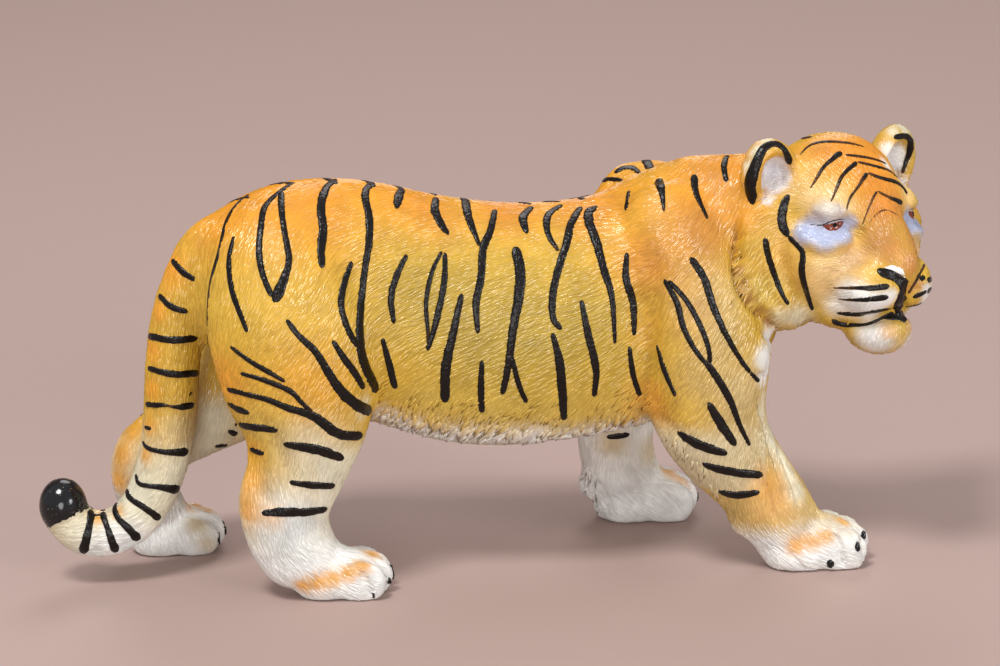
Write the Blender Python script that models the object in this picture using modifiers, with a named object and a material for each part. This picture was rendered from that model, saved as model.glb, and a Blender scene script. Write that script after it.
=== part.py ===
"""Tiger figurine, one moulded solid that stands on its four paws.

The tiger walks along +X, +Z is up, and its right side, the one that the photograph shows, faces -Y. The origin
is under the middle of the figurine, on the surface that it stands on. The big forms are lofts and ellipsoids,
which a voxel remesh fuses into one skin. Finer forms are fused on after a first smoothing, and the creases
are pressed into the skin last. All lengths below are millimetres and all angles are degrees.
"""

import math

import bmesh
import bpy
import numpy as np
from mathutils import Matrix, Vector

MM = 0.001

# Fineness of the skin
BODY_VOXEL = 0.8
SKIN_VOXEL = 0.55
BODY_SMOOTHINGS = 9
SKIN_SMOOTHINGS = 3
TRIANGLES = 11600
RING_SIDES = 28
STEPS_PER_STATION = 4

# Main sizes: the span from the hind legs to the forelegs, and from the floor to the belly
TORSO_LENGTH = 42.0
LEG_LENGTH = 20.0

# The stations below are drawn at these sizes, and the main sizes stretch the torso and the legs between them
TORSO_START = -22.0
DRAWN_TORSO_LENGTH = 42.0
DRAWN_LEG_LENGTH = 20.0

# Trunk: x, top, belly, half width, height of the widest line as a share from belly to top
TRUNK = (
    (-48.5, 57.0, 42.0, 5.5, 0.50),
    (-45.0, 61.0, 37.0, 10.0, 0.50),
    (-40.0, 63.8, 32.5, 13.2, 0.52),
    (-33.0, 65.6, 29.5, 14.2, 0.52),
    (-25.0, 65.6, 27.0, 14.0, 0.50),
    (-18.0, 64.5, 24.3, 13.6, 0.46),
    (-10.0, 62.3, 21.6, 13.9, 0.44),
    (0.0, 60.4, 20.4, 14.8, 0.44),
    (8.0, 59.9, 21.0, 15.3, 0.45),
    (16.0, 60.6, 21.7, 15.2, 0.46),
    (24.0, 62.0, 23.0, 14.6, 0.48),
    (31.0, 63.6, 26.0, 12.6, 0.50),
    (37.0, 64.5, 30.0, 10.2, 0.50),
    (41.5, 63.5, 34.5, 7.5, 0.50),
)
TRUNK_FULLNESS = 0.86

# Neck: x, y, z, half height, half width
NECK = (
    (14.0, 0.0, 47.0, 11.0, 11.0),
    (25.0, 0.0, 50.0, 13.4, 12.8),
    (34.0, -0.8, 52.0, 15.0, 11.4),
    (41.0, -3.2, 54.5, 13.4, 9.6),
    (48.0, -6.0, 57.5, 11.0, 9.4),
)

# Breast, below the throat: centre and radii
BREAST = ((35.6, -1.6, 41.5), (10.4, 9.5, 12.0))

# Limbs, from the trunk down: x, y, z, half depth seen from the side, half width
RIGHT_FORELEG = (
    (26.0, -6.0, 63.6, 4.6, 2.6),
    (27.0, -7.5, 58.5, 8.0, 4.6),
    (29.5, -9.6, 50.0, 11.0, 6.8),
    (31.3, -11.0, 42.0, 11.2, 7.4),
    (31.8, -11.9, 34.0, 10.4, 7.3),
    (32.4, -12.2, 27.0, 9.3, 6.9),
    (35.2, -12.2, 20.8, 7.9, 6.2),
    (39.4, -12.0, 15.2, 6.7, 5.7),
    (42.6, -11.5, 10.2, 6.6, 5.4),
    (45.2, -11.2, 6.2, 6.0, 5.4),
)
LEFT_FORELEG = (
    (24.5, 6.0, 64.0, 4.8, 2.6),
    (25.0, 7.5, 59.0, 8.4, 4.6),
    (26.5, 9.0, 51.0, 11.0, 6.4),
    (26.0, 10.5, 42.0, 10.8, 7.0),
    (24.0, 12.2, 33.0, 9.0, 6.8),
    (21.5, 13.8, 25.0, 7.4, 6.2),
    (20.6, 15.0, 18.0, 6.6, 5.7),
    (20.8, 15.7, 12.0, 6.4, 5.4),
    (22.0, 16.2, 6.6, 6.4, 5.4),
)
RIGHT_HINDLEG = (
    (-35.0, -4.6, 62.5, 6.0, 3.0),
    (-35.0, -7.4, 57.0, 10.5, 5.8),
    (-34.6, -9.6, 49.0, 13.0, 7.6),
    (-33.8, -10.9, 41.5, 13.0, 8.0),
    (-33.2, -11.6, 35.5, 12.2, 7.7),
    (-32.8, -11.9, 29.5, 10.7, 7.0),
    (-33.4, -12.0, 24.5, 8.7, 6.1),
    (-35.0, -12.0, 20.0, 7.7, 5.5),
    (-36.6, -11.9, 16.2, 7.5, 5.2),
    (-36.6, -11.8, 12.4, 7.0, 5.1),
    (-35.4, -11.7, 8.4, 6.6, 5.2),
    (-33.0, -11.6, 4.8, 6.0, 5.2),
)
LEFT_HINDLEG = (
    (-35.5, 4.2, 61.6, 5.6, 3.0),
    (-36.0, 7.0, 56.4, 9.8, 5.4),
    (-36.5, 9.0, 49.0, 12.8, 7.2),
    (-36.5, 10.4, 41.0, 12.6, 7.6),
    (-38.5, 11.4, 33.5, 11.2, 7.2),
    (-44.5, 12.2, 27.2, 8.4, 6.4),
    (-52.5, 12.9, 21.8, 6.2, 5.4),
    (-59.4, 13.4, 17.2, 5.2, 4.8),
    (-60.2, 13.7, 12.0, 4.9, 4.6),
    (-57.6, 13.9, 6.4, 5.2, 4.9),
)

# Tail: x, y, z, half thickness in the side view, half width
TAIL = (
    (-42.0, 0.0, 57.5, 4.8, 4.8),
    (-46.4, 0.0, 55.0, 5.0, 5.0),
    (-49.8, 0.0, 49.6, 4.6, 4.6),
    (-52.2, 0.0, 43.5, 4.4, 4.4),
    (-53.4, 0.0, 36.5, 4.4, 4.4),
    (-54.1, 0.0, 29.5, 4.4, 4.4),
    (-55.2, 0.0, 22.6, 4.2, 4.2),
    (-57.2, 0.0, 16.6, 4.0, 4.0),
    (-60.2, 0.0, 11.6, 3.9, 3.8),
    (-64.0, 0.0, 8.8, 3.8, 3.7),
    (-68.2, 0.0, 8.3, 3.8, 3.7),
    (-71.4, 0.0, 10.4, 3.7, 3.7),
    (-72.6, 0.0, 13.6, 3.6, 3.6),
)
TAIL_TIP_RADIUS = 3.9
TAIL_TIP_HEIGHT = 4.6

# Paws: x and y of the middle, heading from +X towards +Y
RIGHT_FOREPAW = (49.7, -11.2, 8.0)
LEFT_FOREPAW = (25.8, 16.8, 4.0)
RIGHT_HINDPAW = (-27.8, -11.8, 2.0)
LEFT_HINDPAW = (-54.8, 13.9, 6.0)
FOREPAW_LENGTH = 18.0
FOREPAW_WIDTH = 12.4
FOREPAW_HEIGHT = 8.6
HINDPAW_LENGTH = 16.4
HINDPAW_WIDTH = 10.8
HINDPAW_HEIGHT = 7.8
TOE_SPACING = 0.245
TOE_SPREAD = 7.0

# Wrist pads on the back of the forelegs: centre and radii
RIGHT_WRIST_PAD = ((37.4, -12.6, 8.4), (1.9, 2.2, 2.9))
LEFT_WRIST_PAD = ((15.8, 16.2, 6.4), (1.7, 2.0, 2.4))

# Head: the point between the eyes, and the turn towards the tiger's right
HEAD_PLACE = (58.8, -13.0, 57.5)
HEAD_TURN = 60.0
HEAD_TILT = -3.5
EAR_OUT = 13.0
EAR_BACK = 10.2
EAR_UP = 7.0
EAR_DEPTH = 3.4
EAR_HALF_WIDTH = 5.0
EAR_HALF_HEIGHT = 6.2
EAR_WALL = 1.5
EYE_OUT = 7.4
EYE_RADIUS = 2.3

# Creases pressed into the skin: half width, depth, then points in the head's frame, on its left half
FACE_CREASES = (
    (0.8, 1.0, ((8.6, 0.0, -12.8), (6.6, 3.4, -14.0), (3.6, 6.0, -15.2), (0.2, 7.8, -14.6))),
    (0.6, 0.7, ((10.2, 0.0, -8.0), (9.2, 0.0, -12.4))),
    (0.7, 0.8, ((9.6, 2.3, -7.4), (8.0, 3.4, -7.0))),
    (0.8, 0.7, ((2.2, 5.2, -0.8), (1.2, 6.8, 1.0), (-0.8, 8.9, 1.5), (-3.2, 10.6, 0.6))),
    (0.7, 0.6, ((2.0, 5.4, -1.6), (1.0, 7.4, -1.9), (-0.8, 9.2, -1.5), (-3.0, 10.6, -0.4))),
    (1.6, 0.8, ((3.6, 5.6, -3.2), (1.2, 7.0, -6.0), (-1.0, 8.6, -9.0))),
    (1.3, 0.9, ((-5.5, 13.5, 1.5), (-6.0, 14.4, -4.0), (-5.0, 13.0, -9.6), (-3.0, 10.2, -14.0))),
)

# Creases of the body, on the right half: half width, depth, then points
RIGHT_CREASES = (
    (2.2, 1.3, ((21.5, -14.5, 47.0), (20.6, -17.0, 40.0), (22.2, -17.5, 32.0), (23.2, -15.5, 25.0))),
    (2.0, 1.0, ((33.0, -13.0, 62.0), (37.0, -15.5, 54.0), (40.5, -16.0, 46.0), (42.5, -14.0, 38.0))),
    (2.4, 1.2, ((-26.0, -13.0, 60.0), (-20.5, -16.0, 50.0), (-19.5, -17.5, 40.0), (-20.5, -15.0, 31.0))),
    (1.6, 0.8, ((-39.0, -17.5, 31.0), (-36.0, -17.8, 24.0), (-38.5, -17.0, 17.5))),
    (1.4, 0.4, ((34.0, -19.0, 29.0), (38.0, -18.0, 20.0), (42.5, -17.0, 12.0))),
)
LEFT_CREASES = (
    (2.2, 1.3, ((16.0, 14.5, 47.0), (14.6, 16.8, 40.0), (14.2, 17.2, 32.0), (14.6, 15.8, 25.0))),
    (2.0, 1.0, ((33.0, 12.5, 61.0), (37.0, 14.0, 53.0), (37.5, 14.0, 44.0), (34.0, 14.0, 35.0))),
    (2.4, 1.2, ((-27.0, 13.0, 60.0), (-22.5, 16.0, 50.0), (-22.0, 17.0, 40.0), (-25.0, 15.0, 31.0))),
    (1.6, 0.8, ((-47.0, 17.0, 33.0), (-52.0, 18.0, 25.0), (-58.0, 18.2, 19.5))),
)

# Muscles raised from the skin: radius, height, centre
SWELLS = (
    (6.5, 0.9, (25.0, -14.5, 56.0)),
    (6.5, 0.9, (23.5, 14.0, 57.0)),
    (8.0, 0.9, (30.0, -18.0, 43.0)),
    (7.5, 0.8, (24.5, 17.0, 43.0)),
    (9.0, 1.0, (-33.0, -17.5, 46.0)),
    (9.0, 1.0, (-36.0, 17.0, 46.0)),
    (3.2, 0.8, (32.4, -5.0, 66.5)),
)

COAT_COLOUR = (0.78, 0.42, 0.09, 1.0)
COAT_ROUGHNESS = 0.42


def clear_scene():
    """Remove every object of the scene."""
    for obj in list(bpy.data.objects):
        bpy.data.objects.remove(obj, do_unlink=True)


def along_body(x):
    """Place along the body of a drawn x, once the torso has its length."""
    in_torso = np.clip(x - TORSO_START, 0.0, DRAWN_TORSO_LENGTH)
    return x + in_torso * (TORSO_LENGTH / DRAWN_TORSO_LENGTH - 1.0)


def above_floor(z):
    """Height of a drawn z, once the legs have their length."""
    in_legs = np.clip(z, 0.0, DRAWN_LEG_LENGTH)
    return z + in_legs * (LEG_LENGTH / DRAWN_LEG_LENGTH - 1.0)


def placed(point):
    """Place of a drawn point on the stretched figurine."""
    x, y, z = point
    return Vector((along_body(x), y, above_floor(z)))


def head_matrix():
    """Frame of the head: +X ahead of the nose, +Y to the tiger's left, +Z up, from the point between the eyes."""
    turn = Matrix.Rotation(math.radians(-HEAD_TURN), 4, "Z")
    tilt = Matrix.Rotation(math.radians(HEAD_TILT), 4, "X")
    return Matrix.Translation(placed(HEAD_PLACE)) @ turn @ tilt


def new_object(name, bm):
    """Close a bmesh that was drawn in millimetres into an object of the working collection."""
    bmesh.ops.recalc_face_normals(bm, faces=bm.faces)
    bm.transform(Matrix.Scale(MM, 4))
    mesh = bpy.data.meshes.new(name)
    bm.to_mesh(mesh)
    bm.free()
    obj = bpy.data.objects.new(name, mesh)
    bpy.context.scene.collection.objects.link(obj)
    return obj


def between(stations, steps):
    """Stations on a smooth Catmull-Rom curve through the given ones."""
    rows = np.array(stations, float)
    padded = np.vstack([2 * rows[0] - rows[1], rows, 2 * rows[-1] - rows[-2]])
    found = []
    for k in range(1, len(padded) - 2):
        p0, p1, p2, p3 = padded[k - 1 : k + 3]
        for t in np.arange(steps) / steps:
            turn = (p2 - p0) * t + (2 * p0 - 5 * p1 + 4 * p2 - p3) * t**2
            found.append(p1 + 0.5 * (turn + (3 * p1 - p0 - 3 * p2 + p3) * t**3))
    found.append(padded[-2])
    return np.array(found)


def loft(name, rings):
    """Skin over closed rings of equal length, with a flat cap on both ends."""
    bm = bmesh.new()
    rows = [[bm.verts.new(point) for point in ring] for ring in rings]
    for one, two in zip(rows, rows[1:]):
        for i, vert in enumerate(one):
            j = (i + 1) % len(one)
            bm.faces.new((vert, one[j], two[j], two[i]))
    bm.faces.new(rows[0])
    bm.faces.new(rows[-1])
    return new_object(name, bm)


def trunk():
    """Barrel of the body, with upright rings whose upper and lower halves differ."""
    rings = []
    for x, drawn_top, drawn_belly, half_width, widest in between(TRUNK, STEPS_PER_STATION):
        top = above_floor(drawn_top)
        belly = above_floor(drawn_belly)
        middle = belly + widest * (top - belly)
        ring = []
        for angle in np.arange(RING_SIDES) * 2 * math.pi / RING_SIDES:
            side, rise = math.cos(angle), math.sin(angle)
            y = half_width * math.copysign(abs(side) ** TRUNK_FULLNESS, side)
            z = middle + rise * (top - middle if rise > 0 else middle - belly)
            ring.append((along_body(x), y, z))
        rings.append(ring)
    return loft("trunk", rings)


def limb(name, stations):
    """Round member along its stations, with rings square to its path."""
    rows = between([(*placed(row[:3]), *row[3:]) for row in stations], STEPS_PER_STATION)
    paths = np.gradient(rows[:, :3], axis=0)
    rings = []
    for row, path in zip(rows, paths):
        along = Vector(path).normalized()
        in_view = along.cross(Vector((0, 1, 0))).normalized()
        across = in_view.cross(along)
        ring = []
        for angle in np.arange(RING_SIDES) * 2 * math.pi / RING_SIDES:
            offset = in_view * (row[3] * math.cos(angle)) + across * (row[4] * math.sin(angle))
            ring.append(Vector(row[:3]) + offset)
        rings.append(ring)
    return loft(name, rings)


def ellipsoid(name, centre, radii, frame=None, turn=(0.0, 0.0, 0.0)):
    """Ellipsoid in a frame, turned about its own centre by Euler angles."""
    bm = bmesh.new()
    bmesh.ops.create_uvsphere(bm, u_segments=24, v_segments=16, radius=1.0)
    spin = Matrix.Translation(centre if frame else placed(centre))
    for axis, angle in zip("XYZ", turn):
        spin = spin @ Matrix.Rotation(math.radians(angle), 4, axis)
    spin = (frame or Matrix.Identity(4)) @ spin @ Matrix.Diagonal((*radii, 1.0))
    bmesh.ops.transform(bm, matrix=spin, verts=bm.verts)
    return new_object(name, bm)


def both_sides(name, centre, radii, frame, turn=(0.0, 0.0, 0.0)):
    """The same ellipsoid on the left and, mirrored, on the right of a frame."""
    x, y, z = centre
    tilt, pitch, yaw = turn
    return [
        ellipsoid(name + "_left", (x, y, z), radii, frame, turn),
        ellipsoid(name + "_right", (x, -y, z), radii, frame, (-tilt, pitch, -yaw)),
    ]


def head_masses():
    """The big forms of the head, in its own frame."""
    frame = head_matrix()
    return [
        ellipsoid("cranium", (-10.0, 0, 1.5), (10.5, 12.0, 11.4), frame),
        ellipsoid("forehead", (-4.2, 0, 1.6), (7.4, 9.4, 7.4), frame, (0, 30, 0)),
        ellipsoid("nose_bridge", (2.0, 0, -2.4), (9.6, 4.6, 5.0), frame, (0, 42, 0)),
        *both_sides("cheek", (-4.5, 6.2, -5.5), (7.2, 6.6, 8.0), frame, (0, 0, -25)),
        *both_sides("ruff", (-12.0, 11.2, -4.6), (5.2, 8.4, 12.0), frame, (10, 0, -12)),
        *both_sides("ruff_hem", (-9.5, 8.8, -12.4), (4.8, 6.6, 6.4), frame, (24, 0, -12)),
        *both_sides("jaw", (-4.0, 4.2, -12.8), (7.6, 4.8, 4.6), frame, (0, 8, -12)),
        ellipsoid("throat", (-9.0, 0, -9.0), (8.5, 9.5, 8.0), frame),
    ]


def face_forms():
    """The smaller forms of the face, fused on after the first smoothing."""
    frame = head_matrix()
    return [
        *both_sides("muzzle", (3.2, 3.5, -9.2), (6.4, 4.6, 4.9), frame, (0, 0, -14)),
        ellipsoid("nose", (6.6, 0, -6.0), (3.2, 3.6, 2.6), frame, (0, 28, 0)),
        ellipsoid("lip", (5.4, 0, -10.4), (3.8, 3.8, 3.6), frame),
        ellipsoid("chin", (2.4, 0, -16.6), (6.2, 5.0, 4.4), frame, (0, -4, 0)),
        *both_sides("brow", (-2.6, 5.8, 2.4), (4.0, 4.6, 2.4), frame, (14, 20, -22)),
        *both_sides("eyeball", (-1.2, EYE_OUT, -0.4), (EYE_RADIUS,) * 3, frame),
        *both_sides("eye_bag", (-1.8, EYE_OUT + 0.4, -3.0), (2.6, 3.4, 2.2), frame, (0, 0, -20)),
    ]


def ear(side):
    """Ear as a thick cup that opens forwards. Side is 1 for the left ear and -1 for the right one."""
    frame = head_matrix()
    tilt = (side * -14, 0, side * 12)
    name = "ear_left" if side > 0 else "ear_right"
    shell = ellipsoid(
        name, (-EAR_BACK, side * EAR_OUT, EAR_UP), (EAR_DEPTH, EAR_HALF_WIDTH, EAR_HALF_HEIGHT), frame, tilt
    )
    hollow = ellipsoid(
        name + "_hollow",
        (-EAR_BACK + EAR_DEPTH, side * (EAR_OUT + 0.2), EAR_UP - 0.4),
        (EAR_DEPTH * 1.25, EAR_HALF_WIDTH - EAR_WALL, EAR_HALF_HEIGHT - EAR_WALL),
        frame,
        tilt,
    )
    cut = shell.modifiers.new("hollow", "BOOLEAN")
    cut.operation = "DIFFERENCE"
    cut.object = hollow
    apply_modifiers(shell)
    bpy.data.objects.remove(hollow, do_unlink=True)
    return shell


def paw_frame(place):
    """Frame of a paw: +X towards the toes, on the floor."""
    x, y, heading = place
    return Matrix.Translation(placed((x, y, 0))) @ Matrix.Rotation(math.radians(heading), 4, "Z")


def foot(name, place, length, width, height):
    """Sole and instep of a paw."""
    frame = paw_frame(place)
    sole = ((-0.13 * length, 0, 0.30 * height), (0.38 * length, 0.46 * width, 0.52 * height))
    instep = ((0.06 * length, 0, 0.46 * height), (0.30 * length, 0.40 * width, 0.50 * height))
    return [ellipsoid(name + "_sole", *sole, frame), ellipsoid(name + "_instep", *instep, frame)]


def toes(name, place, length, width, height):
    """Four toes of a paw; the two in the middle reach further."""
    frame = paw_frame(place)
    radii = (0.25 * length, 0.155 * width, 0.47 * height)
    forms = []
    for toe, ahead in enumerate((0.17, 0.25, 0.25, 0.17)):
        from_middle = toe - 1.5
        centre = (ahead * length, from_middle * TOE_SPACING * width, 0.36 * height)
        forms.append(ellipsoid(f"{name}_toe_{toe}", centre, radii, frame, (0, 0, from_middle * TOE_SPREAD)))
    return forms


def on_all_paws(build):
    """The forms that a function makes for each of the four paws."""
    fore = (FOREPAW_LENGTH, FOREPAW_WIDTH, FOREPAW_HEIGHT)
    hind = (HINDPAW_LENGTH, HINDPAW_WIDTH, HINDPAW_HEIGHT)
    forms = build("right_forepaw", RIGHT_FOREPAW, *fore)
    forms += build("left_forepaw", LEFT_FOREPAW, *fore)
    forms += build("right_hindpaw", RIGHT_HINDPAW, *hind)
    forms += build("left_hindpaw", LEFT_HINDPAW, *hind)
    return forms


def tail_tip():
    """Round end of the tail."""
    return ellipsoid("tail_tip", TAIL[-1][:3], (TAIL_TIP_RADIUS, TAIL_TIP_RADIUS, TAIL_TIP_HEIGHT))


def wrist_pads():
    """Pads on the back of the forelegs, above the paws."""
    return [
        ellipsoid("right_wrist_pad", *RIGHT_WRIST_PAD, None, (0, -25, 0)),
        ellipsoid("left_wrist_pad", *LEFT_WRIST_PAD),
    ]


def distance_to_path(places, path):
    """Shortest distance from each place to a path of straight runs."""
    nearest = np.full(len(places), np.inf)
    for start, end in zip(path[:-1], path[1:]):
        run = end - start
        along = np.clip((places - start) @ run / (run @ run), 0.0, 1.0)
        gap = np.linalg.norm(places - start - along[:, None] * run, axis=1)
        nearest = np.minimum(nearest, gap)
    return nearest


def on_body(points):
    """Drawn points of the body as places of the figurine."""
    return np.array([placed(point) for point in points])


def on_head(points, side):
    """Points of the head's left half, mirrored for side -1, as places of the figurine."""
    frame = head_matrix()
    return np.array([frame @ Vector((x, side * y, z)) for x, y, z in points])


def sculpt(obj):
    """Press the creases in and raise the muscles, along the surface normals."""
    count = len(obj.data.vertices)
    places = np.empty(count * 3)
    normals = np.empty(count * 3)
    obj.data.vertices.foreach_get("co", places)
    obj.data.vertex_normals.foreach_get("vector", normals)
    places = places.reshape(-1, 3) / MM
    normals = normals.reshape(-1, 3)
    lift = np.zeros(count)
    creases = [(width, depth, on_head(path, side)) for width, depth, path in FACE_CREASES for side in (1, -1)]
    creases += [(width, depth, on_body(path)) for width, depth, path in RIGHT_CREASES + LEFT_CREASES]
    for half_width, depth, path in creases:
        lift -= depth * np.exp(-((distance_to_path(places, path) / half_width) ** 2))
    for radius, height, centre in SWELLS:
        gap = np.linalg.norm(places - np.array(placed(centre)), axis=1)
        lift += height * np.exp(-((gap / radius) ** 2))
    obj.data.vertices.foreach_set("co", ((places + normals * lift[:, None]) * MM).ravel())
    obj.data.update()


def apply_modifiers(obj):
    """Replace an object's mesh by what its modifiers make of it."""
    graph = bpy.context.evaluated_depsgraph_get()
    graph.update()
    mesh = bpy.data.meshes.new_from_object(obj.evaluated_get(graph), depsgraph=graph)
    obj.modifiers.clear()
    old = obj.data
    obj.data = mesh
    bpy.data.meshes.remove(old)


def fuse(name, forms, voxel):
    """One closed skin round overlapping forms."""
    bm = bmesh.new()
    for form in forms:
        bm.from_mesh(form.data)
        bpy.data.objects.remove(form, do_unlink=True)
    mesh = bpy.data.meshes.new(name)
    bm.to_mesh(mesh)
    bm.free()
    obj = bpy.data.objects.new(name, mesh)
    bpy.context.scene.collection.objects.link(obj)
    remesh = obj.modifiers.new("skin", "REMESH")
    remesh.mode = "VOXEL"
    remesh.voxel_size = voxel * MM
    remesh.adaptivity = 0.0
    apply_modifiers(obj)
    return obj


def relax(obj, times):
    """Blend the forms into each other."""
    smooth = obj.modifiers.new("relax", "SMOOTH")
    smooth.factor = 0.5
    smooth.iterations = times
    apply_modifiers(obj)


def largest_piece(bm):
    """Delete the crumbs that a cut leaves beside the largest connected piece."""
    loose = set(bm.verts)
    pieces = []
    while loose:
        front = [loose.pop()]
        piece = set(front)
        while front:
            for edge in front.pop().link_edges:
                for vert in edge.verts:
                    if vert in loose:
                        loose.remove(vert)
                        piece.add(vert)
                        front.append(vert)
        pieces.append(piece)
    pieces.sort(key=len)
    for crumb in pieces[:-1]:
        bmesh.ops.delete(bm, geom=list(crumb), context="VERTS")


def cut_soles(obj):
    """Flat soles at the height of the floor."""
    bm = bmesh.new()
    bm.from_mesh(obj.data)
    everything = bm.verts[:] + bm.edges[:] + bm.faces[:]
    cut = bmesh.ops.bisect_plane(
        bm, geom=everything, plane_co=(0, 0, 0), plane_no=(0, 0, -1), clear_outer=True, dist=1e-7
    )
    rim = [item for item in cut["geom_cut"] if isinstance(item, bmesh.types.BMEdge)]
    bmesh.ops.holes_fill(bm, edges=rim)
    largest_piece(bm)
    bmesh.ops.triangulate(bm, faces=bm.faces)
    bm.to_mesh(obj.data)
    bm.free()


def thin_out(obj, triangles):
    """Fewer, larger triangles where the skin is flat."""
    obj.data.calc_loop_triangles()
    decimate = obj.modifiers.new("thin out", "DECIMATE")
    decimate.ratio = triangles / len(obj.data.loop_triangles)
    decimate.use_collapse_triangulate = True
    apply_modifiers(obj)


def centre_on_origin(obj):
    """Put the middle of the figurine's outline, seen from above, on the Z axis."""
    places = np.array([vert.co[:2] for vert in obj.data.vertices])
    middle = (places.min(axis=0) + places.max(axis=0)) / 2
    obj.data.transform(Matrix.Translation((-middle[0], -middle[1], 0)))


def finish(obj):
    """Name, material and shading of the finished solid."""
    coat = bpy.data.materials.new("painted_coat")
    coat.use_nodes = True
    shader = coat.node_tree.nodes["Principled BSDF"]
    shader.inputs["Base Color"].default_value = COAT_COLOUR
    shader.inputs["Roughness"].default_value = COAT_ROUGHNESS
    obj.data.materials.clear()
    obj.data.materials.append(coat)
    obj.data.shade_smooth()
    group = bpy.data.collections.new("tiger_figurine")
    bpy.context.scene.collection.children.link(group)
    bpy.context.scene.collection.objects.unlink(obj)
    group.objects.link(obj)


def main():
    """Build the figurine."""
    clear_scene()
    masses = [
        trunk(),
        limb("neck", NECK),
        ellipsoid("breast", *BREAST),
        limb("tail", TAIL),
        limb("right_foreleg", RIGHT_FORELEG),
        limb("left_foreleg", LEFT_FORELEG),
        limb("right_hindleg", RIGHT_HINDLEG),
        limb("left_hindleg", LEFT_HINDLEG),
    ]
    masses += head_masses() + on_all_paws(foot)
    body = fuse("body", masses, BODY_VOXEL)
    relax(body, BODY_SMOOTHINGS)
    forms = [body, tail_tip(), ear(1), ear(-1), *face_forms(), *on_all_paws(toes), *wrist_pads()]
    tiger = fuse("tiger", forms, SKIN_VOXEL)
    relax(tiger, SKIN_SMOOTHINGS)
    sculpt(tiger)
    thin_out(tiger, TRIANGLES)
    cut_soles(tiger)
    centre_on_origin(tiger)
    finish(tiger)
    return tiger


main()
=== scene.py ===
import logging
import math
from dataclasses import dataclass
from enum import Enum

import bmesh
import bpy
import numpy as np
from mathutils import Matrix, Vector, noise
from mathutils.bvhtree import BVHTree


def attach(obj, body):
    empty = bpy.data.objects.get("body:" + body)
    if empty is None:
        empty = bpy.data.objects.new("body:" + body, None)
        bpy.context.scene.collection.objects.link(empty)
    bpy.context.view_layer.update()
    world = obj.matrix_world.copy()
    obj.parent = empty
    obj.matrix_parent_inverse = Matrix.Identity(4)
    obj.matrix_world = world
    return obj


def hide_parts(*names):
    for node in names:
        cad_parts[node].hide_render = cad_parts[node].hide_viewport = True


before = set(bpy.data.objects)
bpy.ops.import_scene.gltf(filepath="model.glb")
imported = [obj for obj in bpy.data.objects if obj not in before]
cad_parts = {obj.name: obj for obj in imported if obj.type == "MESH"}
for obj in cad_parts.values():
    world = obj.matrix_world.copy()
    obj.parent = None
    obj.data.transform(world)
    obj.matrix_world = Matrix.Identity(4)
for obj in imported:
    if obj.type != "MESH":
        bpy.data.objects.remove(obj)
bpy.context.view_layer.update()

MM = 0.001
BODY = "root"
NODE = "tiger"
WORK_VALUES = ("comb", "fur_rump", "fur_front", "fur_limbs", "fur_head", "fringe", "small_fringe", "rise",
               "tall")

# Where the head sits on the neck, in millimetres, and how far it is turned and tipped, in degrees
HEAD_PLACE = (61.947, -13.227, 57.5)
HEAD_TURN = 60.0
HEAD_TILT = -3.5
FAR_EYE_OUT = 0.9

# The body's middle plane, and how far each far leg stands behind its near one
MIDDLE_Y = -0.227
FORELEG_SHIFT = -23.9
HINDLEG_SHIFT = -27.0
LEG_TOP = 38.0
LEG_FADE = 26.0
FORE_START_X = 5.0
TAIL_END_X = -63.0

# Where the claws are looked for on a toe: the heights, and how far ahead of the toes the search starts
# and ends. Then how wide and how thick a claw is
CLAW_HEIGHTS = (3.7, 3.1, 2.5, 1.9)
CLAW_SEARCH = 30.0
CLAW_LIMIT = 32.0
CLAW_HALF_WIDTHS = (0.35, 0.5, 0.5, 0.3)
CLAW_LIFT = 0.4

# Where each kind of fur ends: the head's half sizes, its ears, the limbs and the soles, in millimetres
HEAD_SIZE = (17, 16, 17)
EARS_OUT = 6.5
EARS_UP = 6.0
EARS_REACH = 1.3
HEAD_FADE = 0.08
LIMB_FUR_TOP = 27.0
SOLE_HEIGHT = 0.5
SOLE_EDGE = 3.0
SOLE_FACING = -0.6

# How far the skin may jump between two points of one brush line, how deep a film's edge is sunk, and how
# flat the top of a bead and of a film of paint is
LINE_JUMP = 3.0
FILM_SINK = 0.05
BEAD = 2.0
FILM = 14.0


class Side(Enum):
    """How a painted line or spray is carried to the side that the camera doesn't see."""

    BODY = "body"
    HEAD = "head"
    EYE = "eye"
    TAIL = "tail"
    ONCE = "once"


class Paint(Enum):
    """The paints on the palette, as linear colours."""

    GOLD = (0.60, 0.36, 0.035)
    ORANGE = (0.76, 0.30, 0.018)
    DEEP_ORANGE = (0.62, 0.19, 0.02)
    OLIVE = (0.38, 0.27, 0.03)
    STRAW = (0.62, 0.44, 0.09)
    HONEY = (0.78, 0.46, 0.11)
    PEACH = (0.76, 0.42, 0.14)
    BUFF = (0.80, 0.55, 0.25)
    AMBER = (0.73, 0.32, 0.015)
    CREAM = (0.70, 0.65, 0.48)
    WHITE = (0.80, 0.79, 0.76)
    LAVENDER = (0.43, 0.475, 0.66)
    # A grey laid over the white of the lower hind leg and the tail's underside: painted shade
    MIST = (0.58, 0.60, 0.57)
    TAN = (0.54, 0.40, 0.18)
    RUST = (0.50, 0.20, 0.04)
    # A dark brown laid along the ruff's edge: a painted shadow line
    BROWN = (0.33, 0.14, 0.03)
    PINK = (0.72, 0.48, 0.36)
    GREY = (0.74, 0.69, 0.68)


@dataclass(frozen=True)
class Line:
    """One brush line: picture points, widths in pixels along it, and how it is carried to the far side."""

    name: str
    points: tuple[tuple[float, float], ...]
    widths: tuple[float, ...]
    side: Side = Side.BODY
    lift: float = 0.24


@dataclass(frozen=True)
class Spray:
    """One soft pass of the airbrush: a picture point, its reach in pixels, its paint and how strong it is."""

    place: tuple[float, float]
    reach: float
    paint: Paint
    strength: float
    side: Side
    crisp: float


@dataclass(frozen=True)
class Comb:
    """Which way the fur lies at a picture point, in degrees anticlockwise from the picture's right."""

    place: tuple[float, float]
    angle: float
    side: Side


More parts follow.
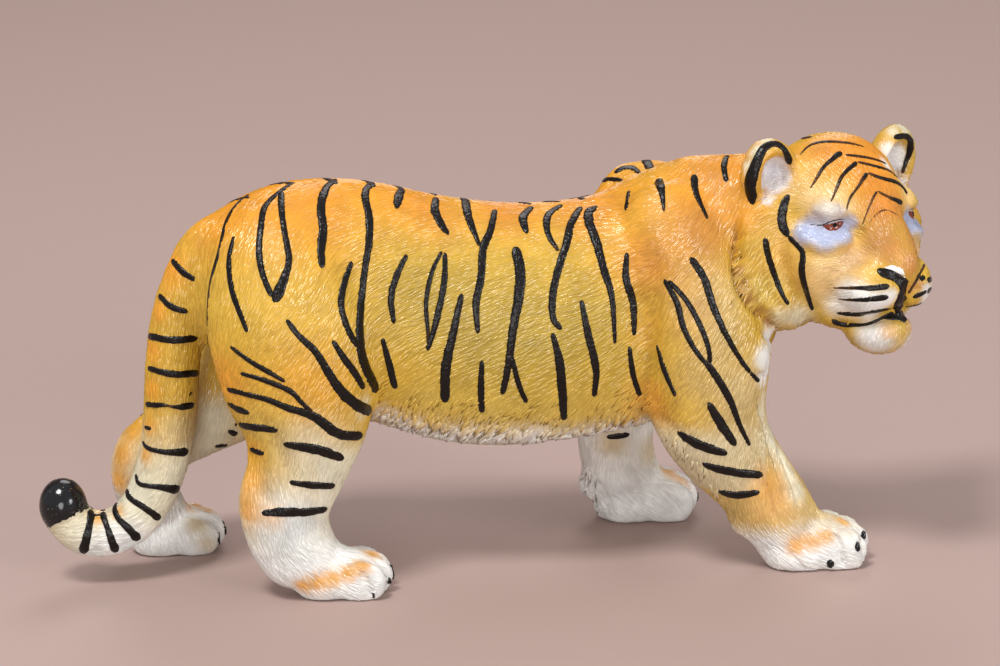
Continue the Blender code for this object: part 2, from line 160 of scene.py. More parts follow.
def sprays(paint: Paint, side: Side, *spots: tuple[float, float, float, float],
           crisp: float = 1.3) -> list[Spray]:
    """Spells out airbrush passes that share their paint and side.

    Args:
        paint: Their paint.
        side: How they are carried to the far side.
        spots: For each pass its picture point, its reach and how strong it is.
        crisp: How sharply they end.

    Returns:
        The passes, in the same order.
    """
    return [Spray((u, v), reach, paint, strength, side, crisp) for u, v, reach, strength in spots]


def combs(side: Side, *guides: tuple[float, float, float]) -> list[Comb]:
    """Spells out combing guides that share their side.

    Args:
        side: How they are carried to the far side.
        guides: For each guide its picture point and its angle.

    Returns:
        The guides, in the same order.
    """
    return [Comb((u, v), angle, side) for u, v, angle in guides]


@dataclass(frozen=True)
class Carving:
    """One stroke of the carving tool: picture points, its reach in pixels and how high it leaves the skin."""

    name: str
    points: tuple[tuple[float, float], ...]
    reach: float
    depth: float
    side: Side = Side.BODY


@dataclass(frozen=True)
class Fringe:
    """A row of longer locks: picture points and how far either side of them the locks grow, in pixels."""

    name: str
    points: tuple[tuple[float, float], ...]
    reach: float
    side: Side = Side.BODY


@dataclass(frozen=True)
class Paw:
    """One paw as the claws need it: the middle of its toes, its heading and its toes' spacing."""

    name: str
    place: tuple[float, float]
    heading: float
    spacing: float
    toes: tuple[int, ...]

    def claws(self, surface: "Surface") -> list[np.ndarray]:
        """Finds a short upright line at the tip of each toe.

        Args:
            surface: The skin.

        Returns:
            One line a claw, as points on the skin from its top down.
        """
        turn = math.radians(self.heading)
        ahead = np.array([math.cos(turn), math.sin(turn), 0.0])
        across = np.array([-ahead[1], ahead[0], 0.0])
        found = []
        for toe in self.toes:
            middle = np.array([*self.place, 0.0]) + across * self.spacing * (toe - 1.5)
            line = []
            for height in CLAW_HEIGHTS:
                start = middle + ahead * CLAW_SEARCH + np.array([0.0, 0.0, height])
                hit, _, _, far = surface.tree.ray_cast(Vector(start), Vector(-ahead))
                if hit is not None and far < CLAW_LIMIT:
                    line.append(np.array(hit))
            if len(line) > 2:
                found.append(np.array(line))
        return found


# The black lines on the rump and thigh
RUMP_LINES = (
    Line("rump_1", ((249, 195), (236, 206), (226, 223), (219, 252), (211, 282), (208, 313), (208, 347)),
         (3, 3, 1)),
    Line("rump_2", ((234, 236), (229, 261), (232, 290), (240, 313), (248, 333)), (3, 5, 5, 4)),
    Line("rump_3", ((294, 183), (280, 192), (265, 207), (261, 227), (259, 252), (263, 275), (272, 297)),
         (4, 5, 6, 5)),
    Line("rump_4", ((281, 192), (282, 215), (286, 240), (289, 260), (284, 279), (274, 303)),
         (5, 5, 6, 12)),
    Line("rump_5", ((336, 179), (326, 189), (321, 206), (323, 229), (321, 250), (322, 269)),
         (5, 7, 8, 6)),
    Line("rump_6", ((373, 182), (365, 194), (369, 217), (369, 242), (364, 275), (360, 313), (360, 342),
         (364, 363), (377, 392)), (5, 7, 6, 7, 9, 8)),
    Line("rump_7", ((352, 261), (344, 284), (341, 307), (349, 332), (359, 348)), (4, 6, 6, 5)),
    Line("rump_8", ((403, 187), (399, 196), (396, 209)), (5, 7, 5)),
    Line("rump_9", ((407, 254), (397, 275), (391, 298), (394, 324)), (4, 6, 6, 4)),
    Line("rump_10", ((382, 337), (389, 363), (393, 380), (396, 389)), (4, 6, 6)),
    Line("thigh_1", ((332, 340), (343, 357), (354, 372), (364, 389)), (4, 6, 6, 5)),
    Line("thigh_2", ((286, 319), (299, 336), (315, 351), (328, 372), (341, 391), (357, 405), (372, 412)),
         (4, 6, 7, 9, 8)),
    Line("thigh_3", ((230, 346), (250, 361), (269, 372), (286, 382)), (3, 4, 5, 3)),
    Line("thigh_4", ((240, 373), (261, 379), (280, 386), (293, 393), (303, 404), (313, 412)),
         (3, 5, 5, 3)),
    Line("thigh_5", ((227, 389), (246, 394), (269, 400), (288, 408), (309, 414), (322, 422), (339, 434),
         (362, 436)), (4, 5, 7, 9, 7)),
    Line("shank_1", ((226, 402), (238, 409), (250, 413)), (3, 6, 5)),
    Line("shank_2", ((234, 424), (253, 427), (278, 430)), (4, 7, 6)),
    Line("shank_3", ((247, 448), (265, 454)), (4, 6)),
    Line("shank_4", ((283, 444), (303, 447), (322, 451), (344, 459)), (5, 9, 9, 6)),
    Line("shank_5", ((289, 482), (311, 485), (335, 486)), (4, 7, 5), Side.ONCE),
    Line("shank_6", ((261, 513), (285, 512), (306, 512), (327, 509)), (5, 9, 8, 5), Side.ONCE),
)

# The black lines on the flank and the ticks along the back
FLANK_LINES = (
    Line("flank_2", ((436, 198), (435, 211), (442, 226), (449, 235)), (5, 7, 7, 4)),
    Line("flank_3", ((465, 201), (469, 219), (480, 247)), (7, 6, 3)),
    Line("flank_4", ((495, 210), (490, 232), (483, 249), (481, 278), (476, 303), (478, 334)),
         (4, 7, 7, 7, 4)),
    Line("flank_5", ((532, 207), (523, 218), (527, 234)), (5, 7, 5)),
    Line("flank_6", ((562, 205), (548, 216), (548, 234), (559, 252)), (5, 6, 5, 3)),
    Line("flank_7", ((581, 207), (571, 224), (567, 242), (559, 267), (553, 293), (553, 318), (562, 330)),
         (5, 7, 7, 7, 5)),
    Line("flank_8", ((597, 206), (588, 216), (597, 244), (604, 270), (612, 298), (615, 344)),
         (7, 8, 7, 5, 3)),
    Line("flank_9", ((442, 251), (432, 272), (426, 303), (428, 331), (428, 345)), (3, 4.5, 4, 3)),
    Line("flank_10", ((445, 252), (444, 283), (435, 326), (427, 351)), (4, 6, 6, 4)),
    Line("flank_11", ((462, 293), (454, 329), (446, 367), (445, 403)), (5, 7, 9, 8)),
    Line("flank_12", ((515, 246), (520, 270), (519, 295), (513, 329), (510, 354), (506, 378), (502, 395)),
         (9, 10, 8, 7, 5)),
    Line("flank_13", ((511, 354), (519, 385), (527, 403)), (4, 5, 4)),
    Line("flank_14", ((482, 360), (481, 387), (482, 413)), (4, 6, 5)),
    Line("flank_15", ((552, 332), (559, 359), (562, 387), (564, 420)), (4, 8, 8, 5)),
    Line("flank_16", ((581, 299), (588, 334), (596, 369), (594, 397)), (4, 7, 7, 4)),
    Line("flank_17", ((627, 252), (626, 278), (633, 303), (634, 336)), (4, 7, 7, 4)),
    Line("flank_18", ((629, 346), (633, 374), (640, 396)), (4, 5, 4)),
    Line("flank_19", ((629, 191), (626, 211)), (3, 4)),
    Line("flank_20", ((658, 179), (662, 193), (664, 212)), (8, 5, 2)),
    Line("flank_21", ((694, 174), (696, 193), (708, 220)), (7, 5, 2)),
    Line("flank_22", ((731, 150), (724, 165), (727, 183)), (3, 5, 4)),
    Line("scapula_1", ((614, 174), (622, 169), (632, 168), (640, 174)), (4, 6, 6, 3), Side.ONCE),
    Line("scapula_2", ((658, 162), (664, 160), (671, 163)), (4, 6, 4), Side.ONCE),
    Line("crest_1", ((474, 198), (483, 201)), (4, 5), Side.ONCE),
    Line("crest_2", ((496, 200), (506, 202)), (4, 4), Side.ONCE),
    Line("crest_3", ((531, 201), (541, 203)), (4, 4), Side.ONCE),
    Line("crest_4", ((575, 197), (584, 200)), (4, 5), Side.ONCE),
)

# The black lines on the shoulder and the legs
LEG_LINES = (
    Line("shoulder_1", ((690, 257), (704, 278), (712, 303), (724, 331), (742, 362), (759, 382)),
         (7, 7, 5, 3)),
    Line("shoulder_2", ((664, 279), (677, 303), (684, 329), (696, 351), (709, 367)), (4, 6, 5, 4)),
    Line("shoulder_3", ((668, 280), (686, 300), (699, 323), (708, 346), (710, 364)), (4, 5, 5, 4)),
    Line("shoulder_4", ((705, 361), (716, 376), (730, 400), (740, 426), (750, 446)), (6, 7, 5, 3)),
    Line("shoulder_5", ((657, 344), (664, 369), (676, 397)), (3, 5, 3)),
    Line("foreleg_1", ((708, 402), (721, 424), (736, 446)), (6, 9, 6)),
    Line("foreleg_2", ((677, 431), (690, 440), (705, 447), (728, 454)), (5, 9, 9, 6)),
    Line("foreleg_3", ((702, 463), (715, 468), (740, 473), (764, 475)), (5, 8, 8, 6)),
    Line("foreleg_4", ((718, 491), (736, 495), (760, 492)), (5, 8, 5)),
    Line("far_foreleg_1", ((606, 437), (618, 436), (630, 434)), (4, 6, 5), Side.ONCE),
    Line("far_hindleg_1", ((228, 430), (237, 435)), (4, 6), Side.ONCE),
    Line("far_hindleg_2", ((214, 446), (228, 445)), (4, 5), Side.ONCE),
)

# The black bands round the tail, and its black tip
TAIL_LINES = (
    Line("tail_1", ((172, 260), (184, 273), (196, 280)), (4, 6, 5), Side.TAIL),
    Line("tail_2", ((159, 295), (172, 307), (189, 312)), (4, 6, 5), Side.TAIL),
    Line("tail_3", ((149, 336), (172, 340), (198, 338)), (5, 7, 6), Side.TAIL),
    Line("tail_4", ((148, 368), (172, 374), (198, 373)), (4, 7, 5), Side.TAIL),
    Line("tail_5", ((146, 404), (154, 405), (165, 405), (177, 407), (194, 405)), (4, 5, 2, 6, 5),
         Side.TAIL),
    Line("tail_6", ((189, 393), (191, 395)), (4, 4), Side.TAIL),
    Line("tail_7", ((145, 427), (152, 429)), (3, 3), Side.TAIL),
    Line("tail_8", ((143, 441), (148, 448), (165, 452), (188, 452)), (3, 5, 8), Side.TAIL),
    Line("tail_9", ((136, 474), (140, 484), (160, 487), (180, 490)), (3, 5, 8), Side.TAIL),
    Line("tail_10", ((127, 490), (130, 498), (145, 508), (160, 519)), (4, 6, 6), Side.TAIL),
    Line("tail_11", ((119, 500), (115, 508), (118, 518), (127, 527), (139, 540)), (4, 5, 7, 8),
         Side.TAIL),
    Line("tail_12", ((102, 511), (106, 524), (111, 538), (116, 552)), (5, 5, 7, 7), Side.TAIL),
    Line("tail_13", ((91, 510), (90, 522), (87, 536), (83, 553)), (7, 6, 8, 8), Side.TAIL),
    Line("tail_top", ((90, 514), (97, 516), (105, 514)), (3, 2.4, 3), Side.ONCE),
)

# The black lines on the head
FACE_LINES = (
    Line("ear_rim", ((753, 205), (751, 195), (750, 183), (757, 162), (765, 147), (777, 144), (786, 152),
         (790, 165)), (9, 11, 11, 9, 6, 6, 6), Side.ONCE, 0.22),
    Line("far_ear_rim", ((893, 138), (903, 136), (910, 139), (910, 150), (906, 162), (902, 174)),
         (5, 5, 6, 4, 3), Side.ONCE, 0.22),
    Line("cheek_1", ((789, 194), (783, 208), (782, 224), (789, 237)), (5, 9, 9, 7), Side.HEAD, 0.2),
    Line("cheek_2", ((788, 236), (798, 246), (803, 253), (802, 274), (808, 296), (813, 311)),
         (4, 5, 6, 5, 3), Side.HEAD, 0.2),
    Line("cheek_3", ((765, 237), (768, 255), (776, 279), (783, 296), (789, 305)), (6, 6, 5, 3),
         Side.HEAD, 0.2),
    Line("brow_1", ((788, 147), (800, 140), (813, 137)), (2, 3, 2), Side.HEAD),
    Line("brow_2", ((800, 155), (808, 147), (818, 143), (833, 142), (852, 144), (864, 147)),
         (1, 2.2, 2.6, 2.2, 1), Side.ONCE),
    Line("brow_3", ((810, 189), (817, 178), (823, 168), (835, 157), (842, 152)), (1, 2.4, 3, 3.6, 6),
         Side.ONCE),
    Line("brow_4", ((845, 155), (862, 157), (876, 160), (886, 164)), (2, 2.2, 1.4), Side.ONCE),
    Line("brow_5", ((831, 202), (837, 188), (843, 175), (857, 162)), (1, 2.6, 3.2, 4), Side.ONCE),
    Line("brow_6", ((857, 162), (877, 167), (889, 171), (897, 178)), (2, 2.4, 1.4), Side.ONCE),
    Line("brow_7", ((846, 211), (850, 198), (858, 187), (867, 173)), (1, 2, 2.4, 3.6), Side.ONCE),
    Line("brow_8", ((867, 173), (880, 178), (895, 182), (903, 188), (907, 195)), (2.4, 3, 3.6, 3),
         Side.ONCE),
    Line("brow_9", ((862, 226), (867, 212), (873, 198), (877, 191)), (0.8, 1.4, 2), Side.ONCE),
    Line("brow_10", ((877, 191), (888, 197), (902, 203)), (1.6, 2.4, 4.4), Side.ONCE),
    Line("bridge_crease", ((869, 223), (878, 213), (887, 210), (899, 216)), (1, 1.6, 1), Side.ONCE, 0.1),
    Line("whisker_1", ((833, 288), (855, 288), (872, 288), (890, 286)), (1, 2.5, 5, 6), Side.HEAD, 0.12),
    Line("whisker_2", ((837, 299), (856, 300), (873, 299), (889, 297)), (1, 2.5, 5, 6), Side.HEAD, 0.12),
    Line("whisker_3", ((836, 313), (856, 314), (873, 312), (890, 309)), (2, 5, 6, 7), Side.HEAD, 0.12),
    Line("nose_side", ((877, 269), (884, 273), (894, 277), (902, 283), (903, 292), (900, 304),
         (896, 313)), (11, 10, 10, 12, 13, 12), Side.ONCE, 0.2),
    Line("nose_far", ((925, 263), (921, 271), (915, 282), (908, 294)), (2, 3, 2), Side.ONCE, 0.12),
    Line("far_whisker_1", ((912, 297), (919, 295), (927, 291)), (5, 4.5, 3), Side.ONCE, 0.12),
    Line("far_whisker_2", ((911, 309), (918, 307), (925, 303)), (5, 4.5, 3), Side.ONCE, 0.12),
    Line("nostril_far", ((919, 280), (925, 276)), (5, 5), Side.ONCE, 0.12),
    Line("mouth", ((832, 319), (838, 324), (852, 325), (868, 324), (882, 318), (894, 312)),
         (6, 4, 3, 4, 7), Side.HEAD, 0.2),
    Line("mouth_gap", ((882, 318), (892, 316), (901, 317), (911, 319)), (6, 10, 11, 7), Side.ONCE, 0.22),
)

# The black bulb of the tail ends at the straight edge between these two picture points
TAIL_CAP_EDGE = ((86, 510), (44, 531))

# Claws and the small black marks of the toes that the picture shows
CLAWS = (
    Line("fore_claw_1", ((831, 559), (830, 568)), (6, 7, 6), Side.ONCE, 0.4),
    Line("fore_claw_2", ((857, 541), (858, 552)), (4, 6, 5), Side.ONCE, 0.4),
    Line("fore_claw_3", ((863, 530), (864, 540)), (4, 6, 5), Side.ONCE, 0.4),
    Line("hind_claw_1", ((394, 567), (395, 578)), (4, 6, 4), Side.ONCE, 0.4),
    Line("hind_claw_2", ((389, 577), (390, 587)), (3, 5, 3), Side.ONCE, 0.3),
    Line("hind_claw_3", ((373, 591), (374, 600)), (2, 3, 2), Side.ONCE, 0.2),
    Line("far_hind_claw", ((218, 536), (219, 546)), (3, 5, 3), Side.ONCE, 0.3),
)

# The eyes: the red-brown ball between the lids, its black pupil and the dark edge of the lid
IRISES = (
    Line("iris", ((823, 226), (828, 227), (834, 227), (840, 224), (844, 221)), (2, 7, 8.5, 6, 2),
         Side.EYE, 0.22),
)
PUPILS = (
    Line("pupil", ((835, 222.5), (835, 225.5), (834.5, 228.5)), (5.4, 6.4, 5.4), Side.EYE, 0.34),
    Line("lid_line", ((803, 223), (812, 225), (823, 225), (829, 222), (836, 220), (845, 219)),
         (0.6, 0.9, 1.3, 1.3, 0.7), Side.EYE, 0.1),
)

# The paws whose claws the picture doesn't show are read on the solid instead
HIDDEN_PAWS = (
    Paw("right_forepaw", (52.85, -11.43), 8.0, 3.0, (2, 3)),
    Paw("left_forepaw", (28.95, 16.57), 4.0, 3.0, (0, 1, 2, 3)),
    Paw("right_hindpaw", (-24.65, -12.03), 2.0, 2.65, (1, 2, 3)),
    Paw("left_hindpaw", (-51.65, 13.67), 6.0, 2.65, (0, 1, 2, 3)),
)

# White paint on the nose
WHITE_LINES = (
    Line("nose_white", ((884, 268), (893, 269), (900, 271), (905, 275)), (4, 8, 8, 4), Side.ONCE, 0.1),
    Line("nose_tip", ((903, 276), (905, 279)), (4, 3), Side.ONCE, 0.1),
)

# Forms too fine for the solid: cuts have a negative depth
CARVINGS = (
    Carving("eye_bag", ((799, 232), (811, 243), (827, 247), (842, 242), (851, 233)), 8, 0.75, Side.HEAD),
    Carving("under_bag", ((795, 243), (808, 253), (827, 257), (846, 250)), 6, -0.35, Side.HEAD),
    Carving("lid_fill", ((806, 211), (822, 209), (840, 208)), 8, 0.55, Side.ONCE),
    Carving("upper_lid", ((806, 216), (820, 217), (834, 214), (847, 213)), 6, 0.4, Side.HEAD),
    Carving("lid_fold", ((799, 222), (811, 225), (824, 226)), 3, -0.3, Side.HEAD),
    Carving("eye_hollow", ((825, 227), (834, 227), (843, 223)), 5, -0.35, Side.HEAD),
    Carving("eye_corner", ((849, 227), (853, 232)), 5, -0.5, Side.HEAD),
    Carving("brow_fold", ((862, 226), (857, 238), (848, 250)), 8, -0.35, Side.HEAD),
    Carving("cheek_fold", ((832, 268), (826, 285), (826, 305)), 8, -0.5, Side.HEAD),
    Carving("muzzle_pad", ((850, 295), (870, 300)), 14, 0.35, Side.HEAD),
    Carving("mouth_cut", ((834, 320), (852, 325), (868, 324), (882, 318), (895, 313)), 3.0, -0.4,
            Side.HEAD),
    Carving("mouth_gap", ((893, 315), (903, 318), (912, 318)), 5, -0.45, Side.ONCE),
    Carving("ear_cup", ((768, 164), (770, 178), (769, 194)), 8, -0.45, Side.HEAD),
    Carving("nose_cut", ((905, 284), (906, 294), (903, 306)), 3.5, -0.35, Side.ONCE),
    Carving("lip_rise", ((845, 317), (865, 317), (882, 311)), 4, 0.3, Side.HEAD),
    Carving("ear_groove_1", ((766, 160), (765, 180), (766, 199)), 2.6, -0.4, Side.HEAD),
    Carving("ear_groove_2", ((773, 158), (774, 178), (775, 194)), 2.6, -0.4, Side.HEAD),
    Carving("ear_groove_3", ((780, 164), (782, 177), (783, 188)), 2.6, -0.35, Side.HEAD),
    Carving("ruff_edge", ((736, 222), (733, 250), (737, 282), (748, 304), (766, 322), (786, 334)),
            4.5, -0.95, Side.HEAD),
    Carving("ruff_lobe_1", ((735, 240), (746, 235)), 2.6, -0.5, Side.HEAD),
    Carving("ruff_lobe_2", ((735, 262), (747, 255)), 2.6, -0.5, Side.HEAD),
    Carving("ruff_lobe_3", ((739, 285), (751, 276)), 2.6, -0.5, Side.HEAD),
    Carving("ruff_lobe_4", ((750, 306), (760, 294)), 2.6, -0.5, Side.HEAD),
    Carving("ruff_lobe_5", ((767, 322), (774, 308)), 2.6, -0.5, Side.HEAD),
    Carving("ruff_rise", ((748, 232), (746, 256), (750, 280), (762, 300), (782, 318)), 6, 0.7, Side.HEAD),
    Carving("ruff_wave_1", ((760, 268), (768, 290), (783, 312)), 4, -0.4, Side.HEAD),
    Carving("ruff_wave_2", ((778, 250), (790, 285), (800, 314)), 4, -0.3, Side.HEAD),
    Carving("chest_keel", ((764, 340), (762, 355), (758, 373)), 15, 1.1, Side.ONCE),
    Carving("shoulder_seam", ((652, 262), (656, 300), (652, 345), (646, 385), (642, 412)), 9, -0.55),
    Carving("shoulder_ridge", ((664, 250), (672, 262), (690, 268)), 8, 0.3),
    Carving("elbow_fold", ((655, 418), (668, 424), (683, 440)), 6, -0.35),
    Carving("forearm_cord_1", ((756, 396), (768, 440), (788, 500)), 2.8, -0.5),
    Carving("forearm_cord_2", ((746, 420), (759, 465), (776, 522)), 2.8, -0.45),
    Carving("forearm_cord_3", ((764, 405), (779, 450), (800, 505)), 2.8, -0.4),
    Carving("thigh_fold", ((372, 345), (382, 385), (376, 415)), 7, -0.35),
    Carving("hock_hollow", ((268, 440), (262, 475), (262, 505)), 8, -0.5),
    Carving("hock_cord", ((251, 440), (250, 470), (243, 500)), 5, 0.4),
    Carving("fore_toe_cut_1", ((832, 532), (840, 545), (843, 566)), 3.4, -0.75, Side.ONCE),
    Carving("fore_toe_cut_2", ((852, 522), (861, 534), (865, 556)), 3.2, -0.7, Side.ONCE),
    Carving("fore_toe_cut_3", ((790, 552), (800, 566), (812, 574)), 3.0, -0.35, Side.ONCE),
    Carving("hind_toe_cut_1", ((358, 570), (368, 584), (372, 602)), 3.2, -0.6, Side.ONCE),
    Carving("hind_toe_cut_2", ((375, 558), (386, 570), (389, 590)), 3.0, -0.6, Side.ONCE),
    Carving("far_toe_cut_1", ((662, 492), (676, 505), (680, 516)), 3.2, -0.5, Side.ONCE),
    Carving("far_toe_cut_2", ((678, 470), (690, 484), (694, 498)), 3.0, -0.5, Side.ONCE),
    Carving("far_leg_wave_1", ((592, 478), (604, 492), (606, 510)), 3.5, -0.4, Side.ONCE),
    Carving("far_leg_wave_2", ((612, 470), (622, 488), (634, 504)), 3.5, -0.35, Side.ONCE),
    Carving("far_leg_wave_3", ((630, 462), (642, 480), (656, 494)), 3.5, -0.3, Side.ONCE),
)

# Where longer locks hang, as picture lines with the reach of each row in pixels
FRINGES = (
    Fringe("belly", ((395, 418), (440, 427), (480, 432), (520, 434), (560, 433), (600, 428), (634, 418)),
           13),
    Fringe("far_foreleg", ((588, 465), (591, 490), (597, 508)), 5, Side.ONCE),
)
SMALL_FRINGES = (
    Fringe("ruff", ((740, 250), (742, 286), (751, 305), (768, 320), (788, 328), (806, 320)), 7,
           Side.HEAD),
    Fringe("forearm", ((668, 424), (682, 444), (699, 466), (715, 490), (727, 512)), 5),
    Fringe("lower_flank", ((400, 395), (450, 408), (520, 414), (590, 410), (640, 398)), 16),
)

# Where no fur grows
BARE = (
    Fringe("eye", ((823, 227), (834, 226), (844, 222)), 7, Side.EYE),
    Fringe("nose", ((884, 272), (900, 276), (906, 286), (903, 304)), 5, Side.ONCE),
    Fringe("mouth", ((834, 320), (852, 325), (868, 324), (884, 317)), 5, Side.HEAD),
    Fringe("lip", ((852, 330), (862, 331), (872, 331)), 5, Side.HEAD),
    Fringe("chest", ((770, 333), (768, 348), (763, 366)), 9, Side.ONCE),
)

